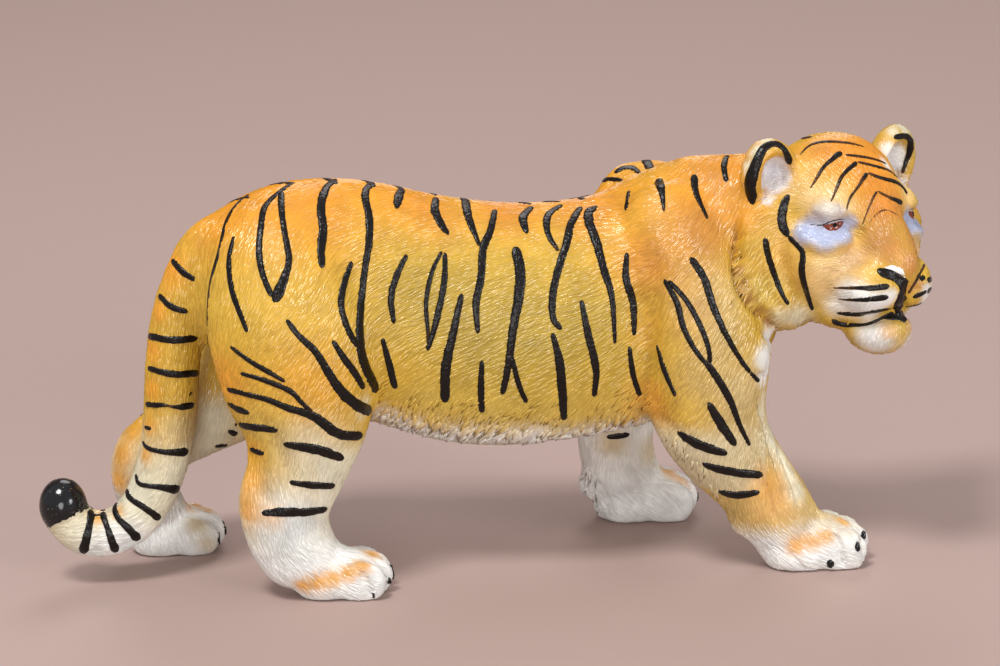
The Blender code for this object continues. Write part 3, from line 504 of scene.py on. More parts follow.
# The airbrush passes, from the first coat up
SPRAYS = (
    *sprays(Paint.ORANGE, Side.BODY, (300, 195, 75, 0.95), (400, 188, 50, 0.75), (500, 203, 40, 0.6),
            (600, 203, 50, 0.65), (690, 190, 60, 0.8), (735, 160, 55, 0.85), (230, 215, 50, 0.8),
            (640, 262, 36, 0.7)),
    *sprays(Paint.RUST, Side.BODY, (648, 262, 28, 0.45), (690, 250, 40, 0.45)),
    *sprays(Paint.ORANGE, Side.BODY, (650, 400, 26, 0.7), (648, 330, 24, 0.35)),
    *sprays(Paint.GOLD, Side.BODY, (725, 330, 40, 0.7)),
    *sprays(Paint.TAN, Side.BODY, (712, 305, 40, 0.5), (705, 375, 34, 0.45), (745, 385, 26, 0.6)),
    *sprays(Paint.RUST, Side.BODY, (708, 228, 34, 0.6), (690, 305, 34, 0.3)),
    *sprays(Paint.TAN, Side.BODY, (725, 345, 28, 0.4)),
    *sprays(Paint.RUST, Side.BODY, (705, 175, 26, 0.25)),
    *sprays(Paint.OLIVE, Side.BODY, (420, 300, 60, 0.5), (500, 340, 75, 0.7), (590, 330, 60, 0.55)),
    *sprays(Paint.DEEP_ORANGE, Side.BODY, (440, 215, 36, 0.4), (510, 212, 36, 0.4), (580, 214, 36, 0.4)),
    *sprays(Paint.ORANGE, Side.BODY, (310, 390, 50, 0.4)),
    *sprays(Paint.STRAW, Side.BODY, (270, 428, 34, 0.6)),
    *sprays(Paint.CREAM, Side.BODY, (306, 440, 26, 0.35)),
    *sprays(Paint.ORANGE, Side.BODY, (225, 380, 30, 0.7)),
    *sprays(Paint.STRAW, Side.BODY, (430, 405, 30, 0.6), (490, 412, 34, 0.6), (560, 412, 34, 0.6),
            (620, 405, 30, 0.6)),
    *sprays(Paint.WHITE, Side.BODY, (450, 436, 24, 0.85), (490, 438, 24, 0.85), (530, 438, 24, 0.85),
            (570, 436, 24, 0.85), (606, 430, 22, 0.8), (634, 424, 18, 0.75), (412, 428, 22, 0.85),
            (385, 416, 16, 0.7)),
    *sprays(Paint.CREAM, Side.BODY, (364, 408, 12, 0.7), (320, 465, 40, 0.8)),
    *sprays(Paint.WHITE, Side.BODY, (290, 530, 40, 0.8), (345, 585, 50, 0.9)),
    *sprays(Paint.AMBER, Side.BODY, (247, 510, 20, 0.85)),
    # Grey over the white of the lower hind leg: painted shade
    *sprays(Paint.MIST, Side.BODY, (288, 532, 30, 0.8)),
    *sprays(Paint.AMBER, Side.BODY, (250, 480, 18, 0.75), (252, 450, 16, 0.6), (272, 517, 14, 0.45),
            (303, 586, 10, 0.9), (318, 583, 11, 0.9), (333, 579, 10, 0.9), (348, 573, 10, 0.9),
            (362, 565, 11, 0.9), (372, 555, 12, 0.9)),
    *sprays(Paint.TAN, Side.BODY, (740, 405, 34, 0.7), (750, 450, 32, 0.6)),
    *sprays(Paint.PEACH, Side.BODY, (775, 500, 30, 0.7)),
    *sprays(Paint.AMBER, Side.BODY, (765, 480, 18, 0.4)),
    *sprays(Paint.CREAM, Side.BODY, (763, 398, 9, 0.8), (762, 412, 10, 0.85), (768, 426, 11, 0.85),
            (772, 441, 12, 0.9), (780, 457, 13, 0.9), (790, 474, 12, 0.9), (797, 492, 13, 0.9)),
    *sprays(Paint.WHITE, Side.BODY, (815, 562, 36, 0.9), (770, 548, 16, 0.7)),
    *sprays(Paint.AMBER, Side.BODY, (795, 546, 11, 0.85), (806, 541, 9, 0.7), (815, 542, 9, 0.7),
            (826, 536, 9, 0.85), (842, 521, 8, 0.8)),
    *sprays(Paint.WHITE, Side.ONCE, (769, 341, 16, 0.98), (767, 358, 15, 0.98),
            (764, 376, 12, 0.95), crisp=2.0),
    *sprays(Paint.TAN, Side.ONCE, (612, 443, 18, 0.8), (650, 450, 18, 0.7)),
    *sprays(Paint.WHITE, Side.ONCE, (610, 490, 34, 0.85), (650, 505, 32, 0.85)),
    *sprays(Paint.AMBER, Side.ONCE, (666, 472, 11, 0.7), (682, 478, 12, 0.65)),
    *sprays(Paint.CREAM, Side.ONCE, (214, 420, 26, 0.95), (206, 445, 24, 0.9)),
    *sprays(Paint.AMBER, Side.ONCE, (120, 455, 18, 0.9), (118, 480, 16, 0.9), (133, 430, 16, 0.85)),
    *sprays(Paint.WHITE, Side.ONCE, (180, 540, 34, 0.8)),
    *sprays(Paint.TAN, Side.ONCE, (197, 525, 13, 0.75), (208, 545, 11, 0.6)),
    *sprays(Paint.AMBER, Side.ONCE, (190, 508, 8, 0.6)),
    *sprays(Paint.ORANGE, Side.TAIL, (170, 270, 22, 0.8), (158, 310, 14, 0.8), (152, 350, 14, 0.8),
            (151, 390, 13, 0.8)),
    *sprays(Paint.AMBER, Side.TAIL, (149, 425, 11, 0.85), (145, 455, 10, 0.85)),
    *sprays(Paint.TAN, Side.TAIL, (182, 430, 22, 0.75)),
    *sprays(Paint.CREAM, Side.TAIL, (178, 470, 20, 0.7), (152, 515, 24, 0.8)),
    *sprays(Paint.WHITE, Side.TAIL, (130, 540, 22, 0.8), (95, 548, 24, 0.75)),
    # Grey over the white of the tail's underside: painted shade
    *sprays(Paint.MIST, Side.TAIL, (132, 546, 13, 0.8), (95, 552, 13, 0.7)),
    *sprays(Paint.AMBER, Side.TAIL, (118, 512, 8, 0.75), (98, 518, 9, 0.8)),
    *sprays(Paint.CREAM, Side.TAIL, (72, 536, 14, 0.8)),
    *sprays(Paint.ORANGE, Side.HEAD, (830, 150, 38, 0.8), (860, 165, 30, 0.7), (895, 195, 20, 0.6)),
    *sprays(Paint.HONEY, Side.HEAD, (800, 172, 16, 0.6)),
    *sprays(Paint.BUFF, Side.HEAD, (812, 200, 17, 0.85), (832, 197, 17, 0.6), (848, 207, 12, 0.5)),
    *sprays(Paint.RUST, Side.HEAD, (880, 222, 20, 0.65), (893, 246, 16, 0.75), (910, 264, 12, 0.75)),
    *sprays(Paint.PEACH, Side.HEAD, (868, 252, 17, 0.75)),
    *sprays(Paint.HONEY, Side.HEAD, (862, 275, 14, 0.7)),
    *sprays(Paint.STRAW, Side.HEAD, (765, 285, 20, 0.7)),
    *sprays(Paint.HONEY, Side.HEAD, (775, 245, 26, 0.8), (802, 275, 24, 0.8)),
    *sprays(Paint.GOLD, Side.HEAD, (750, 250, 22, 0.7)),
    *sprays(Paint.ORANGE, Side.HEAD, (748, 215, 20, 0.6)),
    # A painted shadow: dark rust and brown along the ruff's edge, where it overlaps the neck
    *sprays(Paint.RUST, Side.HEAD, (736, 238, 5, 0.6)),
    *sprays(Paint.BROWN, Side.HEAD, (735, 254, 7, 0.85), (737, 270, 7, 0.85), (741, 285, 7, 0.85),
            (748, 299, 7, 0.85), (757, 311, 7, 0.85), (768, 321, 7, 0.85), (779, 329, 5, 0.6)),
    *sprays(Paint.BUFF, Side.HEAD, (826, 270, 20, 0.85), (838, 288, 16, 0.85), (815, 292, 15, 0.6)),
    *sprays(Paint.PINK, Side.HEAD, (850, 262, 16, 0.45)),
    *sprays(Paint.DEEP_ORANGE, Side.HEAD, (835, 150, 26, 0.4), (868, 182, 22, 0.5), (880, 208, 15, 0.5)),
    *sprays(Paint.RUST, Side.HEAD, (878, 238, 15, 0.6), (888, 255, 11, 0.5)),
    *sprays(Paint.WHITE, Side.HEAD, (853, 303, 24, 0.98), crisp=2.6),
    *sprays(Paint.WHITE, Side.HEAD, (876, 303, 14, 0.95), crisp=2.2),
    *sprays(Paint.WHITE, Side.HEAD, (890, 297, 9, 0.9), crisp=2.0),
    *sprays(Paint.WHITE, Side.HEAD, (836, 306, 13, 0.75)),
    *sprays(Paint.WHITE, Side.HEAD, (868, 313, 12, 0.9), crisp=2.0),
    *sprays(Paint.LAVENDER, Side.HEAD, (806, 231, 15, 0.98), (825, 236, 16, 0.98),
            (843, 232, 13, 0.95), crisp=2.6),
    *sprays(Paint.LAVENDER, Side.ONCE, (820, 217, 12, 0.5), (838, 215, 12, 0.5), crisp=2.0),
    *sprays(Paint.WHITE, Side.ONCE, (825, 212, 15, 0.55)),
    *sprays(Paint.LAVENDER, Side.HEAD, (849, 222, 9, 0.8), crisp=2.0),
    *sprays(Paint.WHITE, Side.HEAD, (873, 341, 22, 0.95), crisp=1.8),
    *sprays(Paint.AMBER, Side.HEAD, (888, 331, 9, 0.5)),
    *sprays(Paint.CREAM, Side.HEAD, (798, 318, 16, 0.8), (779, 318, 12, 0.6)),
    *sprays(Paint.BUFF, Side.HEAD, (790, 185, 12, 0.5)),
    *sprays(Paint.GREY, Side.HEAD, (766, 168, 11, 0.98), (776, 162, 11, 0.98), (781, 173, 11, 0.98),
            (764, 184, 11, 0.98), (773, 186, 11, 0.98), (774, 172, 11, 0.98), (767, 199, 7, 0.9),
            (784, 181, 8, 0.9), crisp=2.5),
    *sprays(Paint.LAVENDER, Side.HEAD, (772, 170, 9, 0.35)),
    *sprays(Paint.PINK, Side.HEAD, (764, 192, 7, 0.5)),
    *sprays(Paint.CREAM, Side.HEAD, (756, 151, 8, 0.9), (767, 141, 8, 0.9), (748, 168, 8, 0.9),
            (747, 188, 6, 0.7)),
    *sprays(Paint.CREAM, Side.ONCE, (893, 131, 7, 0.9), (905, 130, 6, 0.9)),
    *sprays(Paint.WHITE, Side.ONCE, (886, 164, 8, 0.9), (900, 167, 5, 0.8), crisp=2.0),
    *sprays(Paint.WHITE, Side.ONCE, (921, 303, 9, 0.9), crisp=1.6),
    *sprays(Paint.RUST, Side.ONCE, (919, 283, 7, 0.8), (911, 288, 7, 0.7), crisp=1.6),
    *sprays(Paint.WHITE, Side.ONCE, (896, 152, 11, 0.9), (888, 150, 9, 0.85),
            (900, 158, 8, 0.85), crisp=2.0),
)

# How the fur is combed, read where its strokes show
COMBS = (
    *combs(Side.BODY, (250, 210, 230), (300, 200, 215), (230, 280, 255), (290, 260, 235), (350, 220, 205),
           (420, 230, 197), (500, 260, 197), (560, 300, 197), (440, 330, 200), (520, 380, 205),
           (400, 370, 215), (610, 370, 212), (300, 330, 232), (330, 400, 240), (270, 400, 245),
           (300, 460, 262), (280, 520, 275), (320, 570, 320), (370, 580, 340), (360, 430, 240),
           (470, 428, 230), (550, 428, 230), (610, 420, 230), (420, 422, 235), (640, 240, 200),
           (680, 260, 232), (700, 330, 238), (730, 290, 240), (680, 390, 240), (740, 400, 250),
           (750, 450, 262), (770, 500, 275), (800, 545, 320), (840, 550, 330), (700, 190, 225),
           (730, 210, 240), (620, 200, 190), (740, 170, 235)),
    *combs(Side.ONCE, (600, 470, 265), (640, 500, 320), (210, 440, 255), (140, 470, 250)),
    *combs(Side.TAIL, (170, 300, 265), (172, 380, 268), (170, 450, 262), (150, 505, 225),
           (110, 535, 185)),
    *combs(Side.HEAD, (745, 250, 225), (760, 300, 235), (790, 280, 225), (820, 290, 205), (790, 215, 200),
           (820, 180, 130), (850, 160, 120), (870, 200, 110), (885, 240, 120), (860, 250, 160),
           (850, 305, 195), (870, 340, 250), (805, 200, 170), (806, 318, 230)),
)

log = logging.getLogger("tiger")


def catmull(points: np.ndarray, steps: int) -> np.ndarray:
    """Runs a smooth line through points.

    Args:
        points: The points, one a row, of any width.
        steps: How many steps each stretch between two points gets.

    Returns:
        The points of the smooth line.
    """
    padded = np.vstack([2 * points[0] - points[1], points, 2 * points[-1] - points[-2]])
    found = []
    for i in range(1, len(padded) - 2):
        a, b, c, d = padded[i - 1:i + 3]
        for t in np.linspace(0, 1, steps, endpoint=False):
            found.append(0.5 * (2 * b + (c - a) * t + (2 * a - 5 * b + 4 * c - d) * t ** 2
                                + (3 * b - a - 3 * c + d) * t ** 3))
    return np.array(found + [padded[-2]])


def resample(points: np.ndarray, step: float) -> np.ndarray:
    """Spaces the points of a line evenly.

    Args:
        points: The line's points, one a row.
        step: The wished distance between two points.

    Returns:
        At least three points, evenly spaced from the first to the last.
    """
    run = np.concatenate([[0], np.cumsum(np.linalg.norm(np.diff(points, axis=0), axis=1))])
    count = max(3, int(round(run[-1] / step)) + 1)
    at = np.linspace(0, run[-1], count)
    return np.stack([np.interp(at, run, points[:, k]) for k in range(points.shape[1])], axis=1)


def unit(rows: np.ndarray) -> np.ndarray:
    """Each row at length one."""
    return rows / np.maximum(np.linalg.norm(rows, axis=-1, keepdims=True), 1e-9)


def head_matrix() -> np.ndarray:
    """The head's place in the model, as a 4 by 4 matrix in millimetres."""
    turn = Matrix.Rotation(math.radians(-HEAD_TURN), 4, "Z")
    tilt = Matrix.Rotation(math.radians(HEAD_TILT), 4, "X")
    return np.array(Matrix.Translation(Vector(HEAD_PLACE)) @ (turn @ tilt))


def mirrored_on_head(points: np.ndarray) -> np.ndarray:
    """Carries points to the other half of the face.

    Args:
        points: Points in the model, in millimetres.

    Returns:
        The mirrored points, in the model.
    """
    matrix = head_matrix()
    local = (points - matrix[:3, 3]) @ matrix[:3, :3]
    local[:, 1] *= -1
    return local @ matrix[:3, :3].T + matrix[:3, 3]


def placed(name: str, data: bpy.types.ID) -> bpy.types.Object:
    """Adds an object with this data to the scene, at the origin."""
    made = bpy.data.objects.new(name, data)
    bpy.context.scene.collection.objects.link(made)
    return made


@dataclass(frozen=True)
class PhotoCamera:
    """The camera of the photograph: its direction in degrees, distance in millimetres and lens in pixels."""

    azimuth: float = -5.0
    elevation: float = 16.0
    roll: float = -1.8
    distance: float = 480.0
    focal: float = 2939.4
    target: tuple[float, float, float] = (3.147, -0.227, 38.8)
    width: int = 1000
    height: int = 666
    sensor: float = 36.0

    @property
    def pixel(self) -> float:
        """How many millimetres one picture pixel covers at the tiger."""
        return self.distance / self.focal

    def axes(self) -> tuple[np.ndarray, np.ndarray, np.ndarray, np.ndarray]:
        """The camera's right, up and forward directions and its place, in millimetres."""
        a = math.radians(self.azimuth)
        e = math.radians(self.elevation)
        back = np.array([math.sin(a) * math.cos(e), -math.cos(a) * math.cos(e), math.sin(e)])
        right = unit(np.cross(-back, [0.0, 0.0, 1.0]))
        up = np.cross(right, -back)
        r = math.radians(self.roll)
        return (right * math.cos(r) + up * math.sin(r), up * math.cos(r) - right * math.sin(r), -back,
                np.array(self.target) + back * self.distance)

    def ray(self, u: float, v: float) -> tuple[np.ndarray, np.ndarray]:
        """The start and direction of the line of sight through a picture point."""
        right, up, forward, place = self.axes()
        way = forward + right * (u - self.width / 2) / self.focal - up * (v - self.height / 2) / self.focal
        return place, unit(way)

    def build(self) -> None:
        """Makes the camera and gives it to the scene."""
        right, up, forward, place = self.axes()
        data = bpy.data.cameras.new("photo_camera")
        data.sensor_width = self.sensor
        data.lens = self.focal * self.sensor / self.width
        data.clip_start = 0.01
        data.clip_end = 20.0
        camera = placed("photo_camera", data)
        matrix = Matrix.Identity(4)
        for row in range(3):
            matrix[row][0] = right[row]
            matrix[row][1] = up[row]
            matrix[row][2] = -forward[row]
            matrix[row][3] = place[row] * MM
        camera.matrix_world = matrix
        bpy.context.scene.camera = camera


def new_piece(name: str, verts: np.ndarray, faces: list | np.ndarray,
              material: bpy.types.Material) -> bpy.types.Object:
    """Makes a piece from points in millimetres.

    Args:
        name: The piece's name.
        verts: Its points, one a row, in millimetres.
        faces: Its faces, as rows of point numbers.
        material: Its finish.

    Returns:
        The new object, at the origin.
    """
    mesh = bpy.data.meshes.new(name)
    mesh.from_pydata((np.asarray(verts) * MM).tolist(), [], np.asarray(faces).tolist())
    mesh.polygons.foreach_set("use_smooth", [True] * len(mesh.polygons))
    mesh.materials.append(material)
    return placed(name, mesh)


def points_of(mesh: bpy.types.Mesh) -> np.ndarray:
    """A mesh's points in millimetres, one a row."""
    flat = np.zeros(len(mesh.vertices) * 3, np.float32)
    mesh.vertices.foreach_get("co", flat)
    return flat.reshape(-1, 3).astype(float) / MM


def normals_of(mesh: bpy.types.Mesh) -> np.ndarray:
    """A mesh's point normals, one a row."""
    flat = np.zeros(len(mesh.vertices) * 3, np.float32)
    mesh.vertex_normals.foreach_get("vector", flat)
    return flat.reshape(-1, 3).astype(float)


def set_points(mesh: bpy.types.Mesh, verts: np.ndarray) -> None:
    """Moves a mesh's points to these, given in millimetres, or to the floor where they are below it."""
    verts[:, 2] = np.maximum(verts[:, 2], 0.0)
    mesh.vertices.foreach_set("co", (verts * MM).astype(np.float32).ravel())
    mesh.update()


def set_values(mesh: bpy.types.Mesh, name: str, kind: str, values: np.ndarray) -> None:
    """Writes one attribute of a mesh's points.

    Args:
        mesh: The mesh.
        name: The attribute's name.
        kind: FLOAT, FLOAT_VECTOR or FLOAT_COLOR.
        values: One row a point.
    """
    field_of = {"FLOAT": "value", "FLOAT_VECTOR": "vector", "FLOAT_COLOR": "color"}
    attribute = mesh.attributes.get(name) or mesh.attributes.new(name, kind, "POINT")
    attribute.data.foreach_set(field_of[kind], np.asarray(values, np.float32).ravel())


def new_node(tree: bpy.types.NodeTree, kind: str, **settings: object) -> bpy.types.Node:
    """Adds one node to a tree, with its settings."""
    made = tree.nodes.new(kind)
    for name, value in settings.items():
        setattr(made, name, value)
    return made


def applied(piece: bpy.types.Object) -> bpy.types.Mesh:
    """Bakes a piece's modifiers into its mesh.

    Args:
        piece: The object with its modifiers.

    Returns:
        The new mesh, which the object now holds with no modifier left.
    """
    graph = bpy.context.evaluated_depsgraph_get()
    graph.update()
    mesh = bpy.data.meshes.new_from_object(piece.evaluated_get(graph), preserve_all_data_layers=True,
                                           depsgraph=graph)
    piece.modifiers.clear()
    old = piece.data
    piece.data = mesh
    bpy.data.meshes.remove(old)
    return mesh


class Surface:
    """The finished skin as something to look at and lay things on."""

    curve_steps: int = 6
    spacing: float = 1.5
    far_away: float = 200.0

    def __init__(self, mesh: bpy.types.Mesh, camera: PhotoCamera) -> None:
        """Takes a mesh in metres and the camera that reads the photograph."""
        mesh.calc_loop_triangles()
        flat = np.zeros(len(mesh.loop_triangles) * 3, np.int32)
        mesh.loop_triangles.foreach_get("vertices", flat)
        self.verts = points_of(mesh)
        self.normals = normals_of(mesh)
        self.faces = flat.reshape(-1, 3)
        self.tree = BVHTree.FromPolygons(self.verts.tolist(), self.faces.tolist())
        self.camera = camera

    def normal_at(self, face: int, point: np.ndarray) -> np.ndarray:
        """The smooth normal at a point of a face."""
        corners = self.faces[face]
        away = np.linalg.norm(self.verts[corners] - point, axis=1) + 1e-4
        return unit((self.normals[corners] / away[:, None]).sum(axis=0))

    def seen(self, u: float, v: float) -> tuple[np.ndarray, np.ndarray] | None:
        """The point and normal of the skin behind a picture point, or nothing where the skin isn't."""
        start, way = self.camera.ray(u, v)
        place, _, face, _ = self.tree.ray_cast(Vector(start), Vector(way))
        if place is None:
            return None
        return np.array(place), self.normal_at(face, np.array(place))

    def nearest(self, point: np.ndarray) -> tuple[np.ndarray, np.ndarray]:
        """The nearest point of the skin and its normal."""
        place, _, face, _ = self.tree.find_nearest(Vector(point))
        return np.array(place), self.normal_at(face, np.array(place))

    def from_far_side(self, x: float, z: float) -> np.ndarray | None:
        """The skin's point seen from straight beside the far side, or nothing."""
        place, _, _, _ = self.tree.ray_cast(Vector((x, self.far_away, z)), Vector((0.0, -1.0, 0.0)))
        return None if place is None else np.array(place)

    def around(self, path: np.ndarray, margin: float) -> tuple[np.ndarray, np.ndarray]:
        """Finds the skin's points near a line.

        Args:
            path: The line's points, in millimetres.
            margin: How far around the line to look.

        Returns:
            The numbers of the points, and how far each is from every point of the line.
        """
        low, high = path.min(axis=0) - margin, path.max(axis=0) + margin
        near = np.nonzero(((self.verts > low) & (self.verts < high)).all(axis=1))[0]
        return near, np.linalg.norm(self.verts[near, None] - path[None], axis=2)

    def carried(self, points: np.ndarray, side: Side) -> np.ndarray:
        """Carries points of the near side to the side that the camera doesn't see.

        Args:
            points: Points on the skin, in millimetres.
            side: Which part of the tiger they are on.

        Returns:
            The points on the far side, on the skin.
        """
        if side in (Side.HEAD, Side.EYE):
            guesses = mirrored_on_head(points)
            if side is Side.EYE:
                guesses += head_matrix()[:3, 1] * FAR_EYE_OUT
            return np.array([self.nearest(p)[0] for p in guesses])
        found = []
        for x, y, z in points:
            if side is Side.TAIL:
                hit = self.from_far_side(x, z)
            else:
                low = min(1.0, max(0.0, (LEG_TOP - z) / LEG_FADE))
                shift = (FORELEG_SHIFT if x > FORE_START_X else HINDLEG_SHIFT) * low * low * (3 - 2 * low)
                guess = np.array([x + shift, 2 * MIDDLE_Y - y, z])
                hit = self.from_far_side(x + shift, z) if low > 0.05 else self.nearest(guess)[0]
            if hit is not None:
                found.append(hit)
        return np.array(found)

    def laid(self, points: tuple[tuple[float, float], ...],
             side: Side) -> list[tuple[np.ndarray, np.ndarray]]:
        """Lays a picture line on the skin, and its partner on the far side.

        Args:
            points: The line's picture points.
            side: How it is carried over.

        Returns:
            For each line on the skin, its points and their normals.
        """
        flat = resample(catmull(np.array(points, float), self.curve_steps), self.spacing)
        hits = [hit for hit in (self.seen(u, v) for u, v in flat) if hit is not None]
        if len(hits) < 2:
            log.info("a line at %s misses the skin", points[0])
            return []
        near = np.array([place for place, _ in hits])
        found = [(near, np.array([normal for _, normal in hits]))]
        if side is not Side.ONCE:
            far = self.carried(near, side)
            if len(far) > 1:
                found.append((far, np.array([self.nearest(p)[1] for p in far])))
        return found


@dataclass
class Skin:
    """The moulded skin of the tiger, with its finer forms carved in."""

    voxel: float = 0.34
    smoothings: int = 7
    shrink: float = 0.5
    swell: float = -0.52
    weld_gap: float = 0.00001
    rounding: int = 2
    carve_margin: float = 2.5
    evened_over: int = 9
    end_fade: float = 8
    end_share: float = 0.35
    triangles: int = 192000
    object: bpy.types.Object | None = None

    def build(self) -> bpy.types.Object:
        """Makes the skin from a copy of the solid.

        Returns:
            The skin's object.
        """
        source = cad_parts[NODE].data.copy()
        piece = placed("tiger_skin", source)
        weld = piece.modifiers.new("weld", "WELD")
        weld.merge_threshold = self.weld_gap
        round_off = piece.modifiers.new("round_off", "SUBSURF")
        round_off.levels = self.rounding
        round_off.render_levels = self.rounding
        remesh = piece.modifiers.new("remesh", "REMESH")
        remesh.mode = "VOXEL"
        remesh.voxel_size = self.voxel * MM
        mesh = applied(piece)
        self.smooth(mesh)
        self.object = piece
        return piece

    def smooth(self, mesh: bpy.types.Mesh) -> None:
        """Evens the steps of the remesh out without shrinking the shape.

        Args:
            mesh: The mesh to smooth.
        """
        edges = np.zeros(len(mesh.edges) * 2, np.int32)
        mesh.edges.foreach_get("vertices", edges)
        edges = edges.reshape(-1, 2)
        verts = points_of(mesh)
        degree = np.maximum(np.bincount(edges.ravel(), minlength=len(verts)), 1)[:, None]
        for i in range(self.smoothings * 2):
            total = np.zeros_like(verts)
            for k in range(3):
                total[:, k] = (np.bincount(edges[:, 0], verts[edges[:, 1], k], len(verts))
                               + np.bincount(edges[:, 1], verts[edges[:, 0], k], len(verts)))
            verts += (self.shrink if i % 2 == 0 else self.swell) * (total / degree - verts)
        set_points(mesh, verts)

    def carve(self, camera: PhotoCamera) -> None:
        """Cuts and raises the fine forms along their lines.

        Args:
            camera: The camera that the lines are read with.
        """
        surface = Surface(self.object.data, camera)
        verts = surface.verts.copy()
        half = self.evened_over // 2
        window = np.ones(self.evened_over) / self.evened_over
        for stroke in CARVINGS:
            for path, normals in surface.laid(stroke.points, stroke.side):
                reach = stroke.reach * camera.pixel
                near, gaps = surface.around(path, reach * self.carve_margin)
                which = gaps.argmin(axis=1)
                padded = np.pad(normals, ((half, half), (0, 0)), "edge")
                ways = unit(np.stack([np.convolve(row, window, "valid") for row in padded.T], 1))
                along = which / max(1, len(path) - 1)
                fade = np.clip(np.minimum(along, 1 - along) * self.end_fade + self.end_share, 0, 1)
                facing = np.clip((surface.normals[near] * ways[which]).sum(axis=1), 0, 1)
                share = np.exp(-(gaps.min(axis=1) / reach) ** 2) * fade * facing
                verts[near] += ways[which] * (stroke.depth * share)[:, None]
        set_points(self.object.data, verts)

    def thin(self) -> None:
        """Brings the skin down to the number of triangles that it may have."""
        mesh = self.object.data
        mesh.calc_loop_triangles()
        thin = self.object.modifiers.new("thin", "DECIMATE")
        thin.ratio = min(1.0, self.triangles / len(mesh.loop_triangles))
        thin.use_collapse_triangulate = True
        mesh = applied(self.object)
        mesh.polygons.foreach_set("use_smooth", [True] * len(mesh.polygons))


class Airbrush:
    """Colours any point of the tiger from the passes of the airbrush."""

    falloff: float = 1.1

    def __init__(self, surface: Surface) -> None:
        """Finds where on the skin each pass lands."""
        self.passes: list[tuple[np.ndarray, float, np.ndarray, float, float]] = []
        pixel = surface.camera.pixel
        for spray in SPRAYS:
            hit = surface.seen(*spray.place)
            if hit is None:
                log.info("spray at %s misses the skin", spray.place)
                continue
            spots = [hit[0]]
            if spray.side is not Side.ONCE:
                spots += list(surface.carried(hit[0][None, :], spray.side))
            for spot in spots:
                self.passes.append((spot, spray.reach * pixel, np.array(spray.paint.value), spray.strength,
                                    spray.crisp))

    def colours(self, verts: np.ndarray) -> np.ndarray:
        """The coat's colour at each point.

        Args:
            verts: Points in millimetres, one a row.

        Returns:
            One colour with alpha a row.
        """
        found = np.tile(np.array(Paint.GOLD.value), (len(verts), 1))
        x, y, z = verts.T
        trunk = (np.abs(x - 8.0) < 36.0) & (z > 15.0)
        hind = (x < -5.0) & (x > TAIL_END_X)
        fore = (x >= -5.0) & (x < 80.0) & (z < 30.0)
        inner = np.clip(1.3 - np.abs(y - MIDDLE_Y) / 9.0, 0, 1)
        tail = (x <= -55.0) & (np.abs(y) < 7.0)
        for paint, top, fade, where, strength in (
            (Paint.CREAM, 27.5, 4.0, trunk, 0.9),
            (Paint.CREAM, 24.0, 8.0, hind, 0.85),
            (Paint.CREAM, 22.0, 8.0, tail, 0.85),
            (Paint.CREAM, 30.0, 8.0, hind * inner, 0.7),
            (Paint.TAN, 30.0, 10.0, fore, 0.55),
            (Paint.CREAM, 26.0, 8.0, fore * inner, 0.6),
            (Paint.WHITE, 12.0, 5.0, hind, 0.95),
            (Paint.WHITE, 9.0, 4.0, fore, 0.95),
            (Paint.WHITE, 20.5, 3.0, fore & (y > 6.0), 0.85),
        ):
            share = np.clip((top - z) / fade, 0, 1) * where * strength
            found += (np.array(paint.value) - found) * share[:, None]
        for spot, reach, paint, strength, crisp in self.passes:
            away = ((verts - spot) ** 2).sum(axis=1) / reach ** 2
            share = strength * np.exp(-self.falloff * away ** crisp)
            found += (paint - found) * share[:, None]
        return np.hstack([found, np.ones((len(verts), 1))])


class Combing:
    """Gives the way that the fur lies at any point of the tiger."""

    look_ahead: float = 5.0
    longest_step: float = 4.0
    softness: float = 4.0

    def __init__(self, surface: Surface) -> None:
        """Reads the guides on the skin."""
        places = []
        ways = []
        for comb in COMBS:
            angle = math.radians(comb.angle)
            ahead = (comb.place[0] + self.look_ahead * math.cos(angle),
                     comb.place[1] - self.look_ahead * math.sin(angle))
            hit = surface.seen(*comb.place)
            then = surface.seen(*ahead)
            if hit is None or then is None or np.linalg.norm(then[0] - hit[0]) > self.longest_step:
                log.info("comb at %s misses the skin", comb.place)
                continue
            pair = np.array([hit[0], then[0]])
            places.append(pair[0])
            ways.append(unit(pair[1] - pair[0]))
            if comb.side is Side.ONCE:
                continue
            if comb.side is Side.HEAD:
                other = mirrored_on_head(pair)
            else:
                other = pair * [1, -1, 1] + [0, 2 * MIDDLE_Y, 0]
            moved = surface.carried(pair[:1], comb.side)
            places.append(moved[0] if len(moved) else other[0])
            ways.append(unit(other[1] - other[0]))
        self.places = np.array(places)
        self.ways = np.array(ways)

    def ways_at(self, verts: np.ndarray, normals: np.ndarray) -> np.ndarray:
        """The way of the fur at each point.

        Args:
            verts: Points in millimetres.
            normals: Their normals.

        Returns:
            One direction a row, lying in the skin.
        """
        found = np.zeros_like(verts)
        for place, way in zip(self.places, self.ways):
            away = ((verts - place) ** 2).sum(axis=1)
            found += way * (1.0 / (away + self.softness) ** 2)[:, None]
        found = unit(found)
        return unit(found - normals * (found * normals).sum(axis=1)[:, None])


